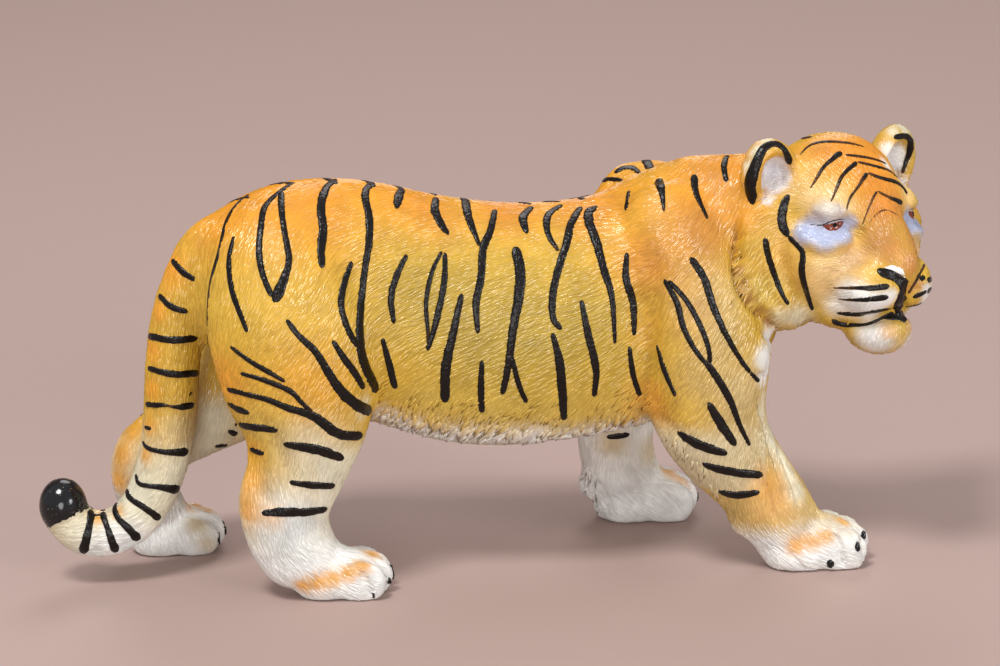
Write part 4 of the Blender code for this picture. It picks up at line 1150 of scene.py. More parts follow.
class StripePainter:
    """Lays the brush lines on the skin as thin raised films of paint."""

    step: float = 0.32
    stations: tuple[float, ...] = (-1.0, -0.9, -0.5, 0.0, 0.5, 0.9, 1.0)
    curve_steps: int = 8
    spacing: float = 1.4
    spread: float = 1.1
    least_tilt: float = 0.62
    taper: float = 1.5
    shortest_taper: float = 0.3
    longest_taper: float = 0.3
    tip_width: float = 0.01
    ragged: float = 0.16
    ragged_pitch: float = 0.9
    full_height_width: float = 0.25
    drift_pitch: float = 0.35
    drift: float = 0.7
    thin_below: float = 0.12
    thin_range: float = 0.2
    thick_paint: tuple[float, float, float] = (0.006, 0.004, 0.003)
    thin_paint: tuple[float, float, float] = (0.085, 0.032, 0.008)

    def __init__(self, surface: Surface, dome: float) -> None:
        """Takes the skin to paint on, and how flat the paint's top is."""
        self.surface = surface
        self.dome = dome
        self.verts: list[np.ndarray] = []
        self.faces: list[np.ndarray] = []
        self.colours: list[np.ndarray] = []
        self.count = 0

    def runs(self, line: Line) -> list[tuple[np.ndarray, np.ndarray]]:
        """Finds where a line lands on the skin.

        Args:
            line: The line as read from the picture.

        Returns:
            Unbroken runs, each with its points and its half widths in millimetres.
        """
        flat = resample(catmull(np.array(line.points, float), self.curve_steps), self.spacing)
        pixel = self.surface.camera.pixel
        share = np.linspace(0, 1, len(flat))
        half = np.interp(share, np.linspace(0, 1, len(line.widths)), line.widths) * pixel / 2 * self.spread
        found: list[list[tuple[np.ndarray, float]]] = [[]]
        for (u, v), width in zip(flat, half):
            hit = self.surface.seen(u, v)
            if hit is None:
                continue
            if found[-1] and np.linalg.norm(found[-1][-1][0] - hit[0]) > LINE_JUMP:
                found.append([])
            tilt = abs(float(hit[1] @ self.surface.camera.axes()[2]))
            found[-1].append((hit[0], width / max(self.least_tilt, tilt) ** 0.5))
        return [(np.array([p for p, _ in run]), np.array([w for _, w in run]))
                for run in found if len(run) > 2]

    def lay(self, points: np.ndarray, half: np.ndarray, lift: float, seed: float) -> None:
        """Builds one film of paint along points on the skin.

        Args:
            points: The line's middle, on the skin, in millimetres.
            half: Half its width at each point.
            lift: How thick the paint stands.
            seed: What makes its edges its own.
        """
        rows = resample(np.hstack([points, half[:, None]]), self.step)
        middle = rows[:, :3].copy()
        for _ in range(2):
            middle[1:-1] = (middle[:-2] + 2 * middle[1:-1] + middle[2:]) / 4
        width = rows[:, 3]
        run = np.concatenate([[0], np.cumsum(np.linalg.norm(np.diff(middle, axis=0), axis=1))])
        ends = np.minimum(run, run[-1] - run)
        reach = np.minimum(np.maximum(width * self.taper, self.shortest_taper), self.longest_taper * run[-1])
        width = width * np.sqrt(np.clip(ends / reach, 0, 1)) + self.tip_width
        ways = unit(np.gradient(middle, axis=0))
        normals = np.array([self.surface.nearest(p)[1] for p in middle])
        sides = unit(np.cross(normals, ways))
        places = np.array(self.stations)
        across = len(places)
        grid = np.zeros((len(middle), across, 3))
        for i, centre in enumerate(middle):
            ragged = [1 + self.ragged * noise.noise(Vector((run[i] * self.ragged_pitch, seed, s * 7.0)))
                      for s in (-1, 1)]
            for k, place in enumerate(places):
                edge = ragged[0] if place < 0 else ragged[1]
                spot, normal = self.surface.nearest(centre + sides[i] * width[i] * place * edge)
                thick = lift * min(1.0, width[i] / self.full_height_width)
                fall = abs(place) ** self.dome
                grid[i, k] = spot + normal * (thick * (1 - fall) - FILM_SINK * fall)
        number = np.arange(len(middle) * across).reshape(len(middle), across) + self.count
        a, b = number[:-1, :-1].ravel(), number[:-1, 1:].ravel()
        c, d = number[1:, 1:].ravel(), number[1:, :-1].ravel()
        self.faces.append(np.stack([a, b, c, d], axis=1))
        self.verts.append(grid.reshape(-1, 3))
        drift = np.array([noise.noise(Vector((r * self.drift_pitch, seed * 3.1, 2.0))) for r in run])
        full = np.clip((rows[:, 3] - self.thin_below) / self.thin_range + drift * self.drift, 0, 1)[:, None]
        shade = np.array(self.thin_paint) * (1 - full) + np.array(self.thick_paint) * full
        self.colours.append(np.repeat(np.hstack([shade, np.ones_like(full)]), across, axis=0))
        self.count += len(middle) * across

    def paint(self, lines: tuple[Line, ...]) -> None:
        """Lays every line, and its partner on the far side.

        Args:
            lines: The lines as read from the picture.
        """
        for number, line in enumerate(lines):
            for points, half in self.runs(line):
                self.lay(points, half, line.lift, float(number))
                if line.side is Side.ONCE:
                    continue
                far = self.surface.carried(points, line.side)
                if len(far) < 3 or np.linalg.norm(np.diff(far, axis=0), axis=1).max() > LINE_JUMP:
                    continue
                self.lay(far, np.interp(np.linspace(0, 1, len(far)), np.linspace(0, 1, len(half)), half),
                         line.lift, number + 0.5)

    def build(self, name: str, material: bpy.types.Material) -> bpy.types.Object:
        """Makes one piece of all the paint laid so far, with its colour on its points."""
        piece = new_piece(name, np.vstack(self.verts), np.vstack(self.faces), material)
        set_values(piece.data, "coat", "FLOAT_COLOR", np.vstack(self.colours))
        return piece


class FurRidge:
    """The two ridges that the coat is made of: a short stroke that hugs the skin, and a long loose lock."""

    def __init__(self) -> None:
        """Makes both as objects that are only copied from."""
        self.stroke = self.make("fur_stroke", ((-0.5, 0.0, -0.4), (-0.22, 0.42, 1.0), (0.2, 0.34, 0.8),
                                               (0.5, 0.0, -0.4)), 0.0)
        self.lock = self.make("fur_lock", ((-0.1, 0.0, -0.4), (0.2, 0.5, 1.0), (0.6, 0.36, 0.8),
                                           (1.0, 0.0, 0.1)), 0.55)

    def make(self, name: str, stations: tuple[tuple[float, float, float], ...],
             loose: float) -> bpy.types.Object:
        """Makes one ridge, one unit long.

        Args:
            name: The object's name.
            stations: For each station its place along the ridge, half width and rise.
            loose: How far the tip stands off, as a share of the lock's height.

        Returns:
            The object. Its points hold how high they rise off the skin as an attribute.
        """
        verts = [(stations[0][0], 0.0, 0.0)]
        rise = [stations[0][2]]
        for x, half, high in stations[1:-1]:
            lift = loose * max(0.0, x)
            verts += [(x, -half, 0.0), (x, 0.0, 0.0), (x, half, 0.0)]
            rise += [lift - 0.3, lift + high, lift - 0.3]
        verts.append((stations[-1][0], 0.0, 0.0))
        rise.append(stations[-1][2] + 1.6 * loose)
        faces = [(0, 1, 2), (0, 2, 3), (1, 4, 5), (1, 5, 2), (2, 5, 6), (2, 6, 3), (4, 7, 5), (5, 7, 6)]
        if loose:
            faces += [(0, 3, 6), (0, 6, 4), (0, 4, 1), (4, 6, 7)]
        mesh = bpy.data.meshes.new(name)
        mesh.from_pydata(verts, [], faces)
        mesh.polygons.foreach_set("use_smooth", [True] * len(mesh.polygons))
        set_values(mesh, "rise", "FLOAT", np.array(rise))
        return placed(name, mesh)

    def clear(self) -> None:
        """Takes both away once the coat is made."""
        bpy.data.objects.remove(self.stroke)
        bpy.data.objects.remove(self.lock)


@dataclass(frozen=True)
class FurPatch:
    """How one part of the coat is furred: stroke sizes in millimetres and strokes a square millimetre."""

    name: str
    mask: str
    length: float
    width: float
    height: float
    density: float
    seed: int
    wander: float = 0.2


class FurTree:
    """The node tree that strews combed strokes over the skin."""

    def __init__(self) -> None:
        """Builds the tree."""
        self.tree = bpy.data.node_groups.new("combed_fur", "GeometryNodeTree")
        self.sockets: dict[str, str] = {}
        self.add_input("Skin", "NodeSocketGeometry")
        self.add_input("Stroke", "NodeSocketObject")
        self.add_input("Mask", "NodeSocketString")
        for name in ("Length", "Width", "Height", "Density", "Wander"):
            self.add_input(name, "NodeSocketFloat")
        self.add_input("Seed", "NodeSocketInt")
        self.add_input("Finish", "NodeSocketMaterial")
        self.tree.interface.new_socket("Fur", in_out="OUTPUT", socket_type="NodeSocketGeometry")
        self.wire()

    def add_input(self, name: str, kind: str) -> None:
        """Adds one named input to the tree."""
        socket = self.tree.interface.new_socket(name, in_out="INPUT", socket_type=kind)
        self.sockets[name] = socket.identifier

    def node(self, kind: str, **settings: object) -> bpy.types.Node:
        """Adds one node with its settings."""
        return new_node(self.tree, kind, **settings)

    def random(self, low: float, high: float, offset: int) -> bpy.types.NodeSocket:
        """A random number for each stroke between two limits.

        Args:
            low: The lower limit.
            high: The upper limit.
            offset: What sets this number apart from the others.

        Returns:
            The socket that gives it.
        """
        made = self.node("FunctionNodeRandomValue", data_type="FLOAT")
        made.inputs[2].default_value = low
        made.inputs[3].default_value = high
        made.inputs["Seed"].default_value = offset
        return made.outputs[1]

    def attribute(self, name: str, kind: str) -> bpy.types.NodeSocket:
        """The value that a named attribute holds: FLOAT or FLOAT_VECTOR."""
        made = self.node("GeometryNodeInputNamedAttribute", data_type=kind)
        made.inputs["Name"].default_value = name
        return made.outputs["Attribute"]

    def times(self, a: bpy.types.NodeSocket, b: bpy.types.NodeSocket) -> bpy.types.NodeSocket:
        """The product of two sockets."""
        made = self.node("ShaderNodeMath", operation="MULTIPLY")
        self.tree.links.new(a, made.inputs[0])
        self.tree.links.new(b, made.inputs[1])
        return made.outputs[0]

    def wire(self) -> None:
        """Joins the nodes from the skin to the finished fur."""
        link = self.tree.links.new
        enter = self.node("NodeGroupInput")
        leave = self.node("NodeGroupOutput")
        spread = self.node("GeometryNodeDistributePointsOnFaces", distribute_method="RANDOM")
        mask = self.node("GeometryNodeInputNamedAttribute", data_type="FLOAT")
        link(enter.outputs["Mask"], mask.inputs["Name"])
        link(enter.outputs["Skin"], spread.inputs["Mesh"])
        link(self.times(enter.outputs["Density"], mask.outputs["Attribute"]), spread.inputs["Density"])
        link(enter.outputs["Seed"], spread.inputs["Seed"])
        stand = self.node("FunctionNodeAlignRotationToVector", axis="Z")
        lie = self.node("FunctionNodeAlignRotationToVector", axis="X", pivot_axis="Z")
        link(spread.outputs["Normal"], stand.inputs["Vector"])
        link(stand.outputs[0], lie.inputs["Rotation"])
        link(self.attribute("comb", "FLOAT_VECTOR"), lie.inputs["Vector"])
        turn = self.node("FunctionNodeAxisAngleToRotation")
        turn.inputs["Axis"].default_value = (0.0, 0.0, 1.0)
        link(self.times(self.random(-1.0, 1.0, 3), enter.outputs["Wander"]), turn.inputs["Angle"])
        wander = self.node("FunctionNodeRotateRotation", rotation_space="LOCAL")
        link(lie.outputs[0], wander.inputs[0])
        link(turn.outputs[0], wander.inputs[1])
        size = self.node("ShaderNodeCombineXYZ")
        link(self.times(self.random(0.65, 1.3, 5), enter.outputs["Length"]), size.inputs["X"])
        link(self.times(self.random(0.75, 1.25, 7), enter.outputs["Width"]), size.inputs["Y"])
        size.inputs["Z"].default_value = 1.0
        stroke = self.node("GeometryNodeObjectInfo", transform_space="ORIGINAL")
        link(enter.outputs["Stroke"], stroke.inputs["Object"])
        strew = self.node("GeometryNodeInstanceOnPoints")
        link(spread.outputs["Points"], strew.inputs["Points"])
        link(stroke.outputs["Geometry"], strew.inputs["Instance"])
        link(wander.outputs[0], strew.inputs["Rotation"])
        link(size.outputs[0], strew.inputs["Scale"])
        tall = self.node("GeometryNodeStoreNamedAttribute", data_type="FLOAT", domain="INSTANCE")
        tall.inputs["Name"].default_value = "tall"
        link(strew.outputs["Instances"], tall.inputs["Geometry"])
        link(self.times(self.random(0.6, 1.3, 9), enter.outputs["Height"]), tall.inputs["Value"])
        real = self.node("GeometryNodeRealizeInstances")
        link(tall.outputs["Geometry"], real.inputs["Geometry"])
        drape = self.draped(enter.outputs["Skin"], real.outputs["Geometry"])
        finish = self.node("GeometryNodeSetMaterial")
        link(drape, finish.inputs["Geometry"])
        link(enter.outputs["Finish"], finish.inputs["Material"])
        link(finish.outputs["Geometry"], leave.inputs["Fur"])

    def draped(self, skin: bpy.types.NodeSocket, fur: bpy.types.NodeSocket) -> bpy.types.NodeSocket:
        """Lays every point of the fur over the skin, at its own height.

        Args:
            skin: The skin's geometry.
            fur: The strewn fur.

        Returns:
            The socket of the draped fur.
        """
        link = self.tree.links.new
        place = self.node("GeometryNodeInputPosition")
        normal = self.node("GeometryNodeInputNormal")
        on_skin = self.node("GeometryNodeSampleNearestSurface", data_type="FLOAT_VECTOR")
        facing = self.node("GeometryNodeSampleNearestSurface", data_type="FLOAT_VECTOR")
        for sample, value in ((on_skin, place), (facing, normal)):
            link(skin, sample.inputs["Mesh"])
            link(value.outputs[0], sample.inputs["Value"])
        lift = self.node("ShaderNodeVectorMath", operation="SCALE")
        link(facing.outputs["Value"], lift.inputs[0])
        link(self.times(self.attribute("rise", "FLOAT"), self.attribute("tall", "FLOAT")),
             lift.inputs["Scale"])
        move = self.node("GeometryNodeSetPosition")
        link(fur, move.inputs["Geometry"])
        link(on_skin.outputs["Value"], move.inputs["Position"])
        link(lift.outputs[0], move.inputs["Offset"])
        return move.outputs["Geometry"]

    def grow(self, patch: FurPatch, skin: bpy.types.Mesh, stroke: bpy.types.Object,
             material: bpy.types.Material) -> bpy.types.Object:
        """Furs one part of the coat.

        Args:
            patch: The part and its strokes.
            skin: The skin's mesh with its masks and combing.
            stroke: The ridge that is copied.
            material: The fur's finish.

        Returns:
            The fur as a plain mesh piece.
        """
        piece = placed(patch.name, skin.copy())
        modifier = piece.modifiers.new("fur", "NODES")
        modifier.node_group = self.tree
        values = {"Stroke": stroke, "Mask": patch.mask, "Length": patch.length * MM,
                  "Width": patch.width * MM, "Height": patch.height * MM,
                  "Density": patch.density / MM ** 2, "Wander": patch.wander,
                  "Seed": patch.seed, "Finish": material}
        for name, value in values.items():
            modifier[self.sockets[name]] = value
        mesh = applied(piece)
        mesh.name = patch.name
        for name in [a.name for a in mesh.attributes]:
            if name in WORK_VALUES:
                mesh.attributes.remove(mesh.attributes[name])
        verts = points_of(mesh)
        set_points(mesh, verts)
        return piece


class PaintGrain:
    """The shader group that gives hand-laid paint its mottling, sheen changes and fine relief."""

    mottle_detail: float = 4.0
    mottle_range: tuple[float, float] = (0.3, 0.7)
    fine_size: float = 1400.0
    fine_detail: float = 3.0

    def __init__(self) -> None:
        """Builds the group."""
        self.tree = bpy.data.node_groups.new("paint_grain", "ShaderNodeTree")
        face = self.tree.interface
        face.new_socket("Colour", in_out="INPUT", socket_type="NodeSocketColor")
        for name, value in (("Mottle", 0.2), ("Mottle Size", 250.0), ("Rough", 0.4), ("Rough Change", 0.15)):
            face.new_socket(name, in_out="INPUT", socket_type="NodeSocketFloat").default_value = value
        face.new_socket("Colour", in_out="OUTPUT", socket_type="NodeSocketColor")
        face.new_socket("Roughness", in_out="OUTPUT", socket_type="NodeSocketFloat")
        face.new_socket("Height", in_out="OUTPUT", socket_type="NodeSocketFloat")
        link = self.tree.links.new
        enter = new_node(self.tree, "NodeGroupInput")
        leave = new_node(self.tree, "NodeGroupOutput")
        place = new_node(self.tree, "ShaderNodeTexCoord")
        broad = new_node(self.tree, "ShaderNodeTexNoise")
        broad.inputs["Detail"].default_value = self.mottle_detail
        link(place.outputs["Object"], broad.inputs["Vector"])
        link(enter.outputs["Mottle Size"], broad.inputs["Scale"])
        level = new_node(self.tree, "ShaderNodeMapRange")
        level.inputs["From Min"].default_value = self.mottle_range[0]
        level.inputs["From Max"].default_value = self.mottle_range[1]
        level.inputs["To Min"].default_value = -1.0
        link(broad.outputs["Fac"], level.inputs["Value"])
        amount = new_node(self.tree, "ShaderNodeMath", operation="MULTIPLY_ADD")
        amount.inputs[2].default_value = 1.0
        link(level.outputs["Result"], amount.inputs[0])
        link(enter.outputs["Mottle"], amount.inputs[1])
        tint = new_node(self.tree, "ShaderNodeVectorMath", operation="SCALE")
        link(enter.outputs["Colour"], tint.inputs[0])
        link(amount.outputs[0], tint.inputs["Scale"])
        link(tint.outputs[0], leave.inputs["Colour"])
        fine = new_node(self.tree, "ShaderNodeTexNoise")
        fine.inputs["Scale"].default_value = self.fine_size
        fine.inputs["Detail"].default_value = self.fine_detail
        link(place.outputs["Object"], fine.inputs["Vector"])
        rough = new_node(self.tree, "ShaderNodeMath", operation="MULTIPLY_ADD")
        link(fine.outputs["Fac"], rough.inputs[0])
        link(enter.outputs["Rough Change"], rough.inputs[1])
        link(enter.outputs["Rough"], rough.inputs[2])
        link(rough.outputs[0], leave.inputs["Roughness"])
        link(fine.outputs["Fac"], leave.inputs["Height"])


@dataclass(frozen=True)
class Finish:
    """One paint finish: its colour or the attribute that holds it, its sheen and its relief."""

    name: str
    colour: tuple[float, float, float] = (0.5, 0.5, 0.5)
    attribute: str = ""
    # How much the held colour is darkened; below one it is painted shade
    shade: float = 1.0
    rough: float = 0.36
    rough_change: float = 0.16
    mottle: float = 0.12
    mottle_size: float = 260.0
    relief: float = 0.06
    coat: float = 0.0
    specular: float = 0.4
    relief_depth: float = 0.0004
    coat_rough: float = 0.2

    def build(self, grain: PaintGrain) -> bpy.types.Material:
        """Makes the material.

        Args:
            grain: The shared group of paint grain.

        Returns:
            The material.
        """
        material = bpy.data.materials.new(self.name)
        material.use_nodes = True
        tree, link = material.node_tree, material.node_tree.links.new
        shader = tree.nodes["Principled BSDF"]
        group = new_node(tree, "ShaderNodeGroup", node_tree=grain.tree)
        group.inputs["Mottle"].default_value = self.mottle
        group.inputs["Mottle Size"].default_value = self.mottle_size
        group.inputs["Rough"].default_value = self.rough
        group.inputs["Rough Change"].default_value = self.rough_change
        if self.attribute:
            held = new_node(tree, "ShaderNodeAttribute", attribute_name=self.attribute)
            # The held colour times the shade factor: painted shade where the factor is below one
            painted_shade_scale = new_node(tree, "ShaderNodeVectorMath", operation="SCALE")
            painted_shade_scale.inputs["Scale"].default_value = self.shade
            link(held.outputs["Color"], painted_shade_scale.inputs[0])
            link(painted_shade_scale.outputs[0], group.inputs["Colour"])
        else:
            group.inputs["Colour"].default_value = (*self.colour, 1.0)
        bump = new_node(tree, "ShaderNodeBump")
        bump.inputs["Strength"].default_value = self.relief
        bump.inputs["Distance"].default_value = self.relief_depth
        link(group.outputs["Colour"], shader.inputs["Base Color"])
        link(group.outputs["Roughness"], shader.inputs["Roughness"])
        link(group.outputs["Height"], bump.inputs["Height"])
        link(bump.outputs["Normal"], shader.inputs["Normal"])
        shader.inputs["Specular IOR Level"].default_value = self.specular
        shader.inputs["Coat Weight"].default_value = self.coat
        shader.inputs["Coat Roughness"].default_value = self.coat_rough
        return material


# The bare skin between the fur strokes takes the coat's colour at 0.84: painted shade in the grooves between
# the strokes
GROUND_PAINT = Finish("coat_ground", attribute="coat", shade=0.84, rough=0.42)
STROKE_PAINT = Finish("coat_strokes", attribute="coat", rough=0.13, specular=0.7)
STRIPE_PAINT = Finish("stripe_paint", attribute="coat", rough=0.1, rough_change=0.25, mottle=0.5,
                      mottle_size=900.0, relief=0.5, specular=0.25)
PUPIL_PAINT = Finish("pupil_black", (0.005, 0.003, 0.003), rough=0.5, mottle=0.1, relief=0.02,
                     specular=0.12)
LACQUER = Finish("black_lacquer", (0.006, 0.006, 0.007), rough=0.08, rough_change=0.08, mottle=0.1,
                 relief=0.05)
IRIS_PAINT = Finish("iris_red_brown", (0.17, 0.03, 0.014), rough=0.1, rough_change=0.08, mottle=0.5,
                    mottle_size=2500.0, relief=0.05, coat=0.3)
WHITE_PAINT = Finish("white_touch", (0.72, 0.72, 0.70), rough=0.3, mottle=0.1, relief=0.2, coat=0.2)

# The coat's patches: stroke length, width and height in millimetres, strokes a square millimetre, seed
# and wander
COAT = (
    FurPatch("fur_on_rump", "fur_rump", 3.1, 0.44, 0.17, 1.9, 11, 0.15),
    FurPatch("fur_on_front", "fur_front", 3.1, 0.44, 0.17, 1.9, 15, 0.15),
    FurPatch("fur_on_limbs", "fur_limbs", 2.7, 0.38, 0.15, 2.0, 12, 0.17),
    FurPatch("fur_on_head", "fur_head", 1.8, 0.27, 0.09, 5.6, 13, 0.2),
)
LOCKS = (
    FurPatch("long_locks", "fringe", 3.6, 1.0, 0.34, 1.0, 14, 0.3),
    FurPatch("small_locks", "small_fringe", 3.2, 0.8, 0.17, 0.45, 16, 0.25),
)


@dataclass
class TailCap:
    """The black lacquered bulb at the end of the tail, a film over the skin."""

    film: float = 0.16
    right: float = 2.0
    top: float = 26.0

    def build(self, surface: Surface, skin: bpy.types.Mesh, material: bpy.types.Material) -> bpy.types.Object:
        """Cuts the bulb's part out of a copy of the skin and lifts it.

        Args:
            surface: The skin to read the picture's edge on.
            skin: The skin's mesh.
            material: The lacquer.

        Returns:
            The cap as a piece.
        """
        ends = [np.array(surface.camera.ray(u, v)[1]) for u, v in TAIL_CAP_EDGE]
        start = surface.camera.axes()[3]
        normal = unit(np.cross(ends[0], ends[1]))
        if normal[2] < 0:
            normal = -normal
        mesh = skin.copy()
        form = bmesh.new()
        form.from_mesh(mesh)
        away = [v for v in form.verts
                if v.co.x / MM > TAIL_END_X + self.right or v.co.z / MM > self.top]
        bmesh.ops.delete(form, geom=away, context="VERTS")
        bmesh.ops.bisect_plane(form, geom=form.verts[:] + form.edges[:] + form.faces[:], dist=1e-7,
                               plane_co=Vector(start * MM), plane_no=Vector(normal), clear_inner=True)
        loose = self.right_of_bulb(form)
        bmesh.ops.delete(form, geom=loose, context="VERTS")
        form.normal_update()
        for vert in form.verts:
            lift = -FILM_SINK if vert.is_boundary else self.film
            vert.co += vert.normal * lift * MM
        form.to_mesh(mesh)
        form.free()
        mesh.materials.clear()
        mesh.materials.append(material)
        return placed("tail_cap", mesh)

    def right_of_bulb(self, form: bmesh.types.BMesh) -> list[bmesh.types.BMVert]:
        """The points above the edge that belong to the tail's stem and not to its bulb."""
        left = min((v for v in form.verts), key=lambda v: v.co.x)
        found = {left}
        grow = [left]
        while grow:
            vert = grow.pop()
            for edge in vert.link_edges:
                other = edge.other_vert(vert)
                if other not in found:
                    found.add(other)
                    grow.append(other)
        return [v for v in form.verts if v not in found]


# The lamps: where each hangs and how wide it is, in metres, and its power in watts
LAMPS = (
    ("key_light", (-0.30, -0.38, 0.95), 0.26, 6.5),
    ("fill_light", (0.7, -0.82, 0.34), 0.34, 4.2),
    ("low_light", (-0.2, -1.0, 0.18), 0.4, 3.0),
    ("back_light", (0.1, 0.7, 0.8), 0.5, 2.4),
)
LAMP_TARGET = (0, 0, 0.035)
FLOOR_STEPS = 16


@dataclass
class Studio:
    """The pale floor that sweeps up behind, the soft lights and the surrounding light."""

    floor_colour: tuple[float, float, float] = (0.43, 0.31, 0.275)
    half_width: float = 3.0
    front: float = -2.0
    bend_start: float = 0.9
    bend_radius: float = 0.6
    wall_height: float = 3.0
    cloud_size: float = 4.0
    cloud_shade: float = 0.97
    floor_rough: float = 0.7
    air_colour: tuple[float, float, float, float] = (0.95, 0.97, 1.0, 1.0)
    air_strength: float = 0.6

    def build(self) -> None:
        """Makes the floor, the lamps and the world light."""
        self.floor()
        for name, place, size, power in LAMPS:
            self.lamp(name, place, size, power)
        world = bpy.data.worlds.new("studio_air")
        bpy.context.scene.world = world
        world.use_nodes = True
        air = world.node_tree.nodes["Background"]
        air.inputs["Color"].default_value = self.air_colour
        air.inputs["Strength"].default_value = self.air_strength
        bpy.context.scene.view_settings.view_transform = "Standard"

    def floor(self) -> None:
        """Makes the floor and backdrop as one sweep."""
        profile = [(self.front, 0.0), (self.bend_start, 0.0)]
        for i in range(1, FLOOR_STEPS + 1):
            a = math.radians(90 * i / FLOOR_STEPS)
            profile.append((self.bend_start + self.bend_radius * math.sin(a),
                            self.bend_radius * (1 - math.cos(a))))
        profile.append((self.bend_start + self.bend_radius, self.wall_height))
        verts = [(x / MM, y / MM, z / MM) for y, z in profile for x in (-self.half_width, self.half_width)]
        faces = [(2 * i, 2 * i + 1, 2 * i + 3, 2 * i + 2) for i in range(len(profile) - 1)]
        material = bpy.data.materials.new("floor_paper")
        material.use_nodes = True
        tree, link = material.node_tree, material.node_tree.links.new
        shader = tree.nodes["Principled BSDF"]
        place = new_node(tree, "ShaderNodeTexCoord")
        cloud = new_node(tree, "ShaderNodeTexNoise")
        cloud.inputs["Scale"].default_value = self.cloud_size
        shades = new_node(tree, "ShaderNodeMix", data_type="RGBA")
        shades.inputs["A"].default_value = (*[c * self.cloud_shade for c in self.floor_colour], 1.0)
        shades.inputs["B"].default_value = (*self.floor_colour, 1.0)
        link(place.outputs["Object"], cloud.inputs["Vector"])
        link(cloud.outputs["Fac"], shades.inputs["Factor"])
        link(shades.outputs["Result"], shader.inputs["Base Color"])
        shader.inputs["Roughness"].default_value = self.floor_rough
        new_piece("floor", np.array(verts), faces, material)

    def lamp(self, name: str, place: tuple[float, float, float], size: float, power: float) -> None:
        """Adds one soft round lamp that points at the tiger.

        Args:
            name: The lamp's name.
            place: Where it hangs, in metres.
            size: Its width, in metres.
            power: Its power, in watts.
        """
        data = bpy.data.lights.new(name, "AREA")
        data.shape = "DISK"
        data.size = size
        data.energy = power
        lamp = placed(name, data)
        lamp.location = place
        lamp.rotation_euler = (Vector(LAMP_TARGET) - Vector(place)).to_track_quat("-Z", "Y").to_euler()


def near_lines(surface: Surface, rows: tuple[Fringe, ...]) -> np.ndarray:
    """How near each point of the skin is to the rows of longer locks.

    Args:
        surface: The skin.
        rows: The rows.

    Returns:
        From 1 on a row to 0 beyond its reach, for each point.
    """
    found = np.zeros(len(surface.verts))
    for row in rows:
        for path, normals in surface.laid(row.points, row.side):
            reach = row.reach * surface.camera.pixel
            near, gaps = surface.around(path, reach * 2)
            facing = (surface.normals[near] * normals[gaps.argmin(axis=1)]).sum(axis=1) > 0
            found[near] = np.maximum(found[near], facing * np.clip(1.6 - gaps.min(axis=1) / reach, 0, 1))
    return found


def furred(surface: Surface) -> dict[str, np.ndarray]:
    """Where each kind of fur grows.

    Args:
        surface: The skin.

    Returns:
        A mask between 0 and 1 for each fur patch.
    """
    verts, normals = surface.verts, surface.normals
    matrix = head_matrix()
    local = (verts - matrix[:3, 3]) @ matrix[:3, :3]
    size = np.linalg.norm(local / HEAD_SIZE, axis=1)
    half = np.abs(local[:, 1])
    ears = (half > EARS_OUT) & (local[:, 2] > EARS_UP) & (size < EARS_REACH)
    on_head = np.maximum(1 - np.clip((size - 1.0) / HEAD_FADE, 0, 1), ears)
    sole = (verts[:, 2] < SOLE_HEIGHT) | ((normals[:, 2] < SOLE_FACING) & (verts[:, 2] < SOLE_EDGE))
    limb = np.clip(LIMB_FUR_TOP - verts[:, 2], 0, 1)
    tail = (verts[:, 0] < TAIL_END_X).astype(float)
    limb = np.maximum(limb, tail) * (1 - on_head)
    open_skin = (1.0 - sole) * (1.0 - np.minimum(1.0, near_lines(surface, BARE)))
    body = (1 - on_head) * (1 - limb) * open_skin
    return {"fur_head": on_head * open_skin, "fur_limbs": limb * open_skin,
            "fur_rump": body * (verts[:, 0] < 0), "fur_front": body * (verts[:, 0] >= 0),
            "fringe": near_lines(surface, FRINGES) * open_skin,
            "small_fringe": near_lines(surface, SMALL_FRINGES) * open_skin}


def settle(piece: bpy.types.Object) -> bpy.types.Object:
    """Makes a piece ride on the tiger and logs how many triangles it has."""
    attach(piece, BODY)
    piece.data.calc_loop_triangles()
    log.info("%s: %d triangles", piece.name, len(piece.data.loop_triangles))
    return piece


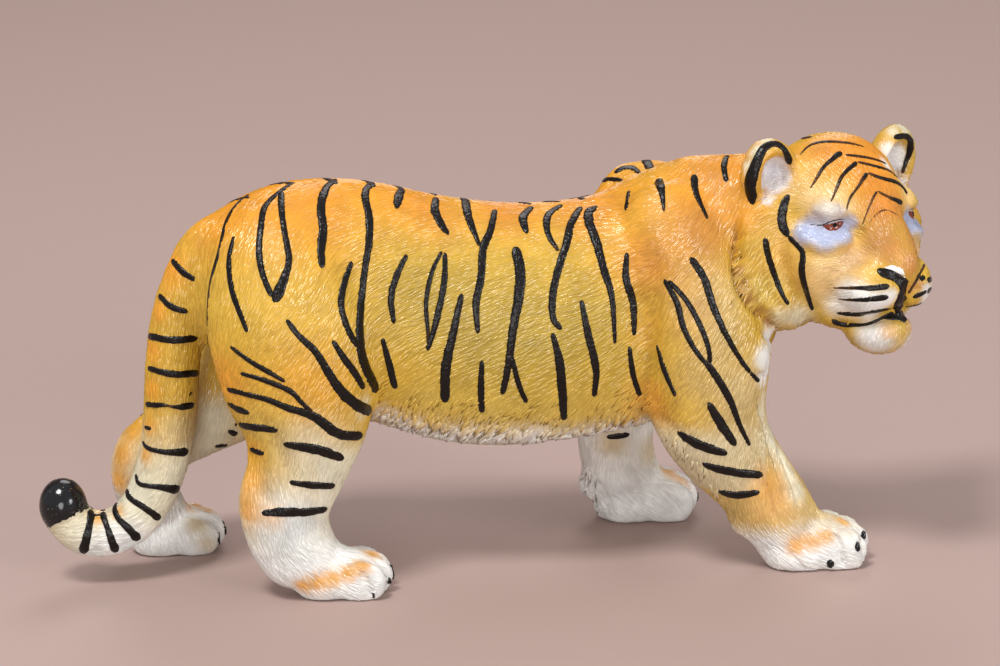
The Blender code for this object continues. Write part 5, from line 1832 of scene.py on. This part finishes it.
def main() -> None:
    """Builds the tiger, its paint, the studio and the camera."""
    camera = PhotoCamera()
    camera.build()
    grain = PaintGrain()
    skin_finish = GROUND_PAINT.build(grain)
    fur_finish = STROKE_PAINT.build(grain)
    skin = Skin()
    piece = skin.build()
    skin.carve(camera)
    skin.thin()
    mesh = piece.data
    surface = Surface(mesh, camera)
    brush = Airbrush(surface)
    combing = Combing(surface)
    set_values(mesh, "coat", "FLOAT_COLOR", brush.colours(surface.verts))
    set_values(mesh, "comb", "FLOAT_VECTOR", combing.ways_at(surface.verts, surface.normals))
    for name, values in furred(surface).items():
        set_values(mesh, name, "FLOAT", values)
    mesh.materials.clear()
    mesh.materials.append(skin_finish)
    ridge = FurRidge()
    tree = FurTree()
    for patch in COAT:
        settle(tree.grow(patch, mesh, ridge.stroke, fur_finish))
    for patch in LOCKS:
        settle(tree.grow(patch, mesh, ridge.lock, fur_finish))
    ridge.clear()
    painter = StripePainter(surface, FILM)
    painter.paint(RUMP_LINES + FLANK_LINES + LEG_LINES + TAIL_LINES + FACE_LINES)
    settle(painter.build("black_stripes", STRIPE_PAINT.build(grain)))
    claws = StripePainter(surface, BEAD)
    claws.paint(CLAWS)
    for paw in HIDDEN_PAWS:
        for line in paw.claws(surface):
            claws.lay(line, np.array(CLAW_HALF_WIDTHS)[:len(line)], CLAW_LIFT, 1.0)
    settle(claws.build("claws", LACQUER.build(grain)))
    for name, lines, finish in (("irises", IRISES, IRIS_PAINT), ("pupils", PUPILS, PUPIL_PAINT),
                                ("white_touches", WHITE_LINES, WHITE_PAINT)):
        touch = StripePainter(surface, BEAD)
        touch.paint(lines)
        settle(touch.build(name, finish.build(grain)))
    for name in WORK_VALUES:
        if name in mesh.attributes:
            mesh.attributes.remove(mesh.attributes[name])
    settle(TailCap().build(surface, mesh, LACQUER.build(grain)))
    settle(piece)
    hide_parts(NODE)
    Studio().build()


if __name__ == "__main__":
    logging.basicConfig(level=logging.INFO, format="%(name)s: %(message)s")
    main()
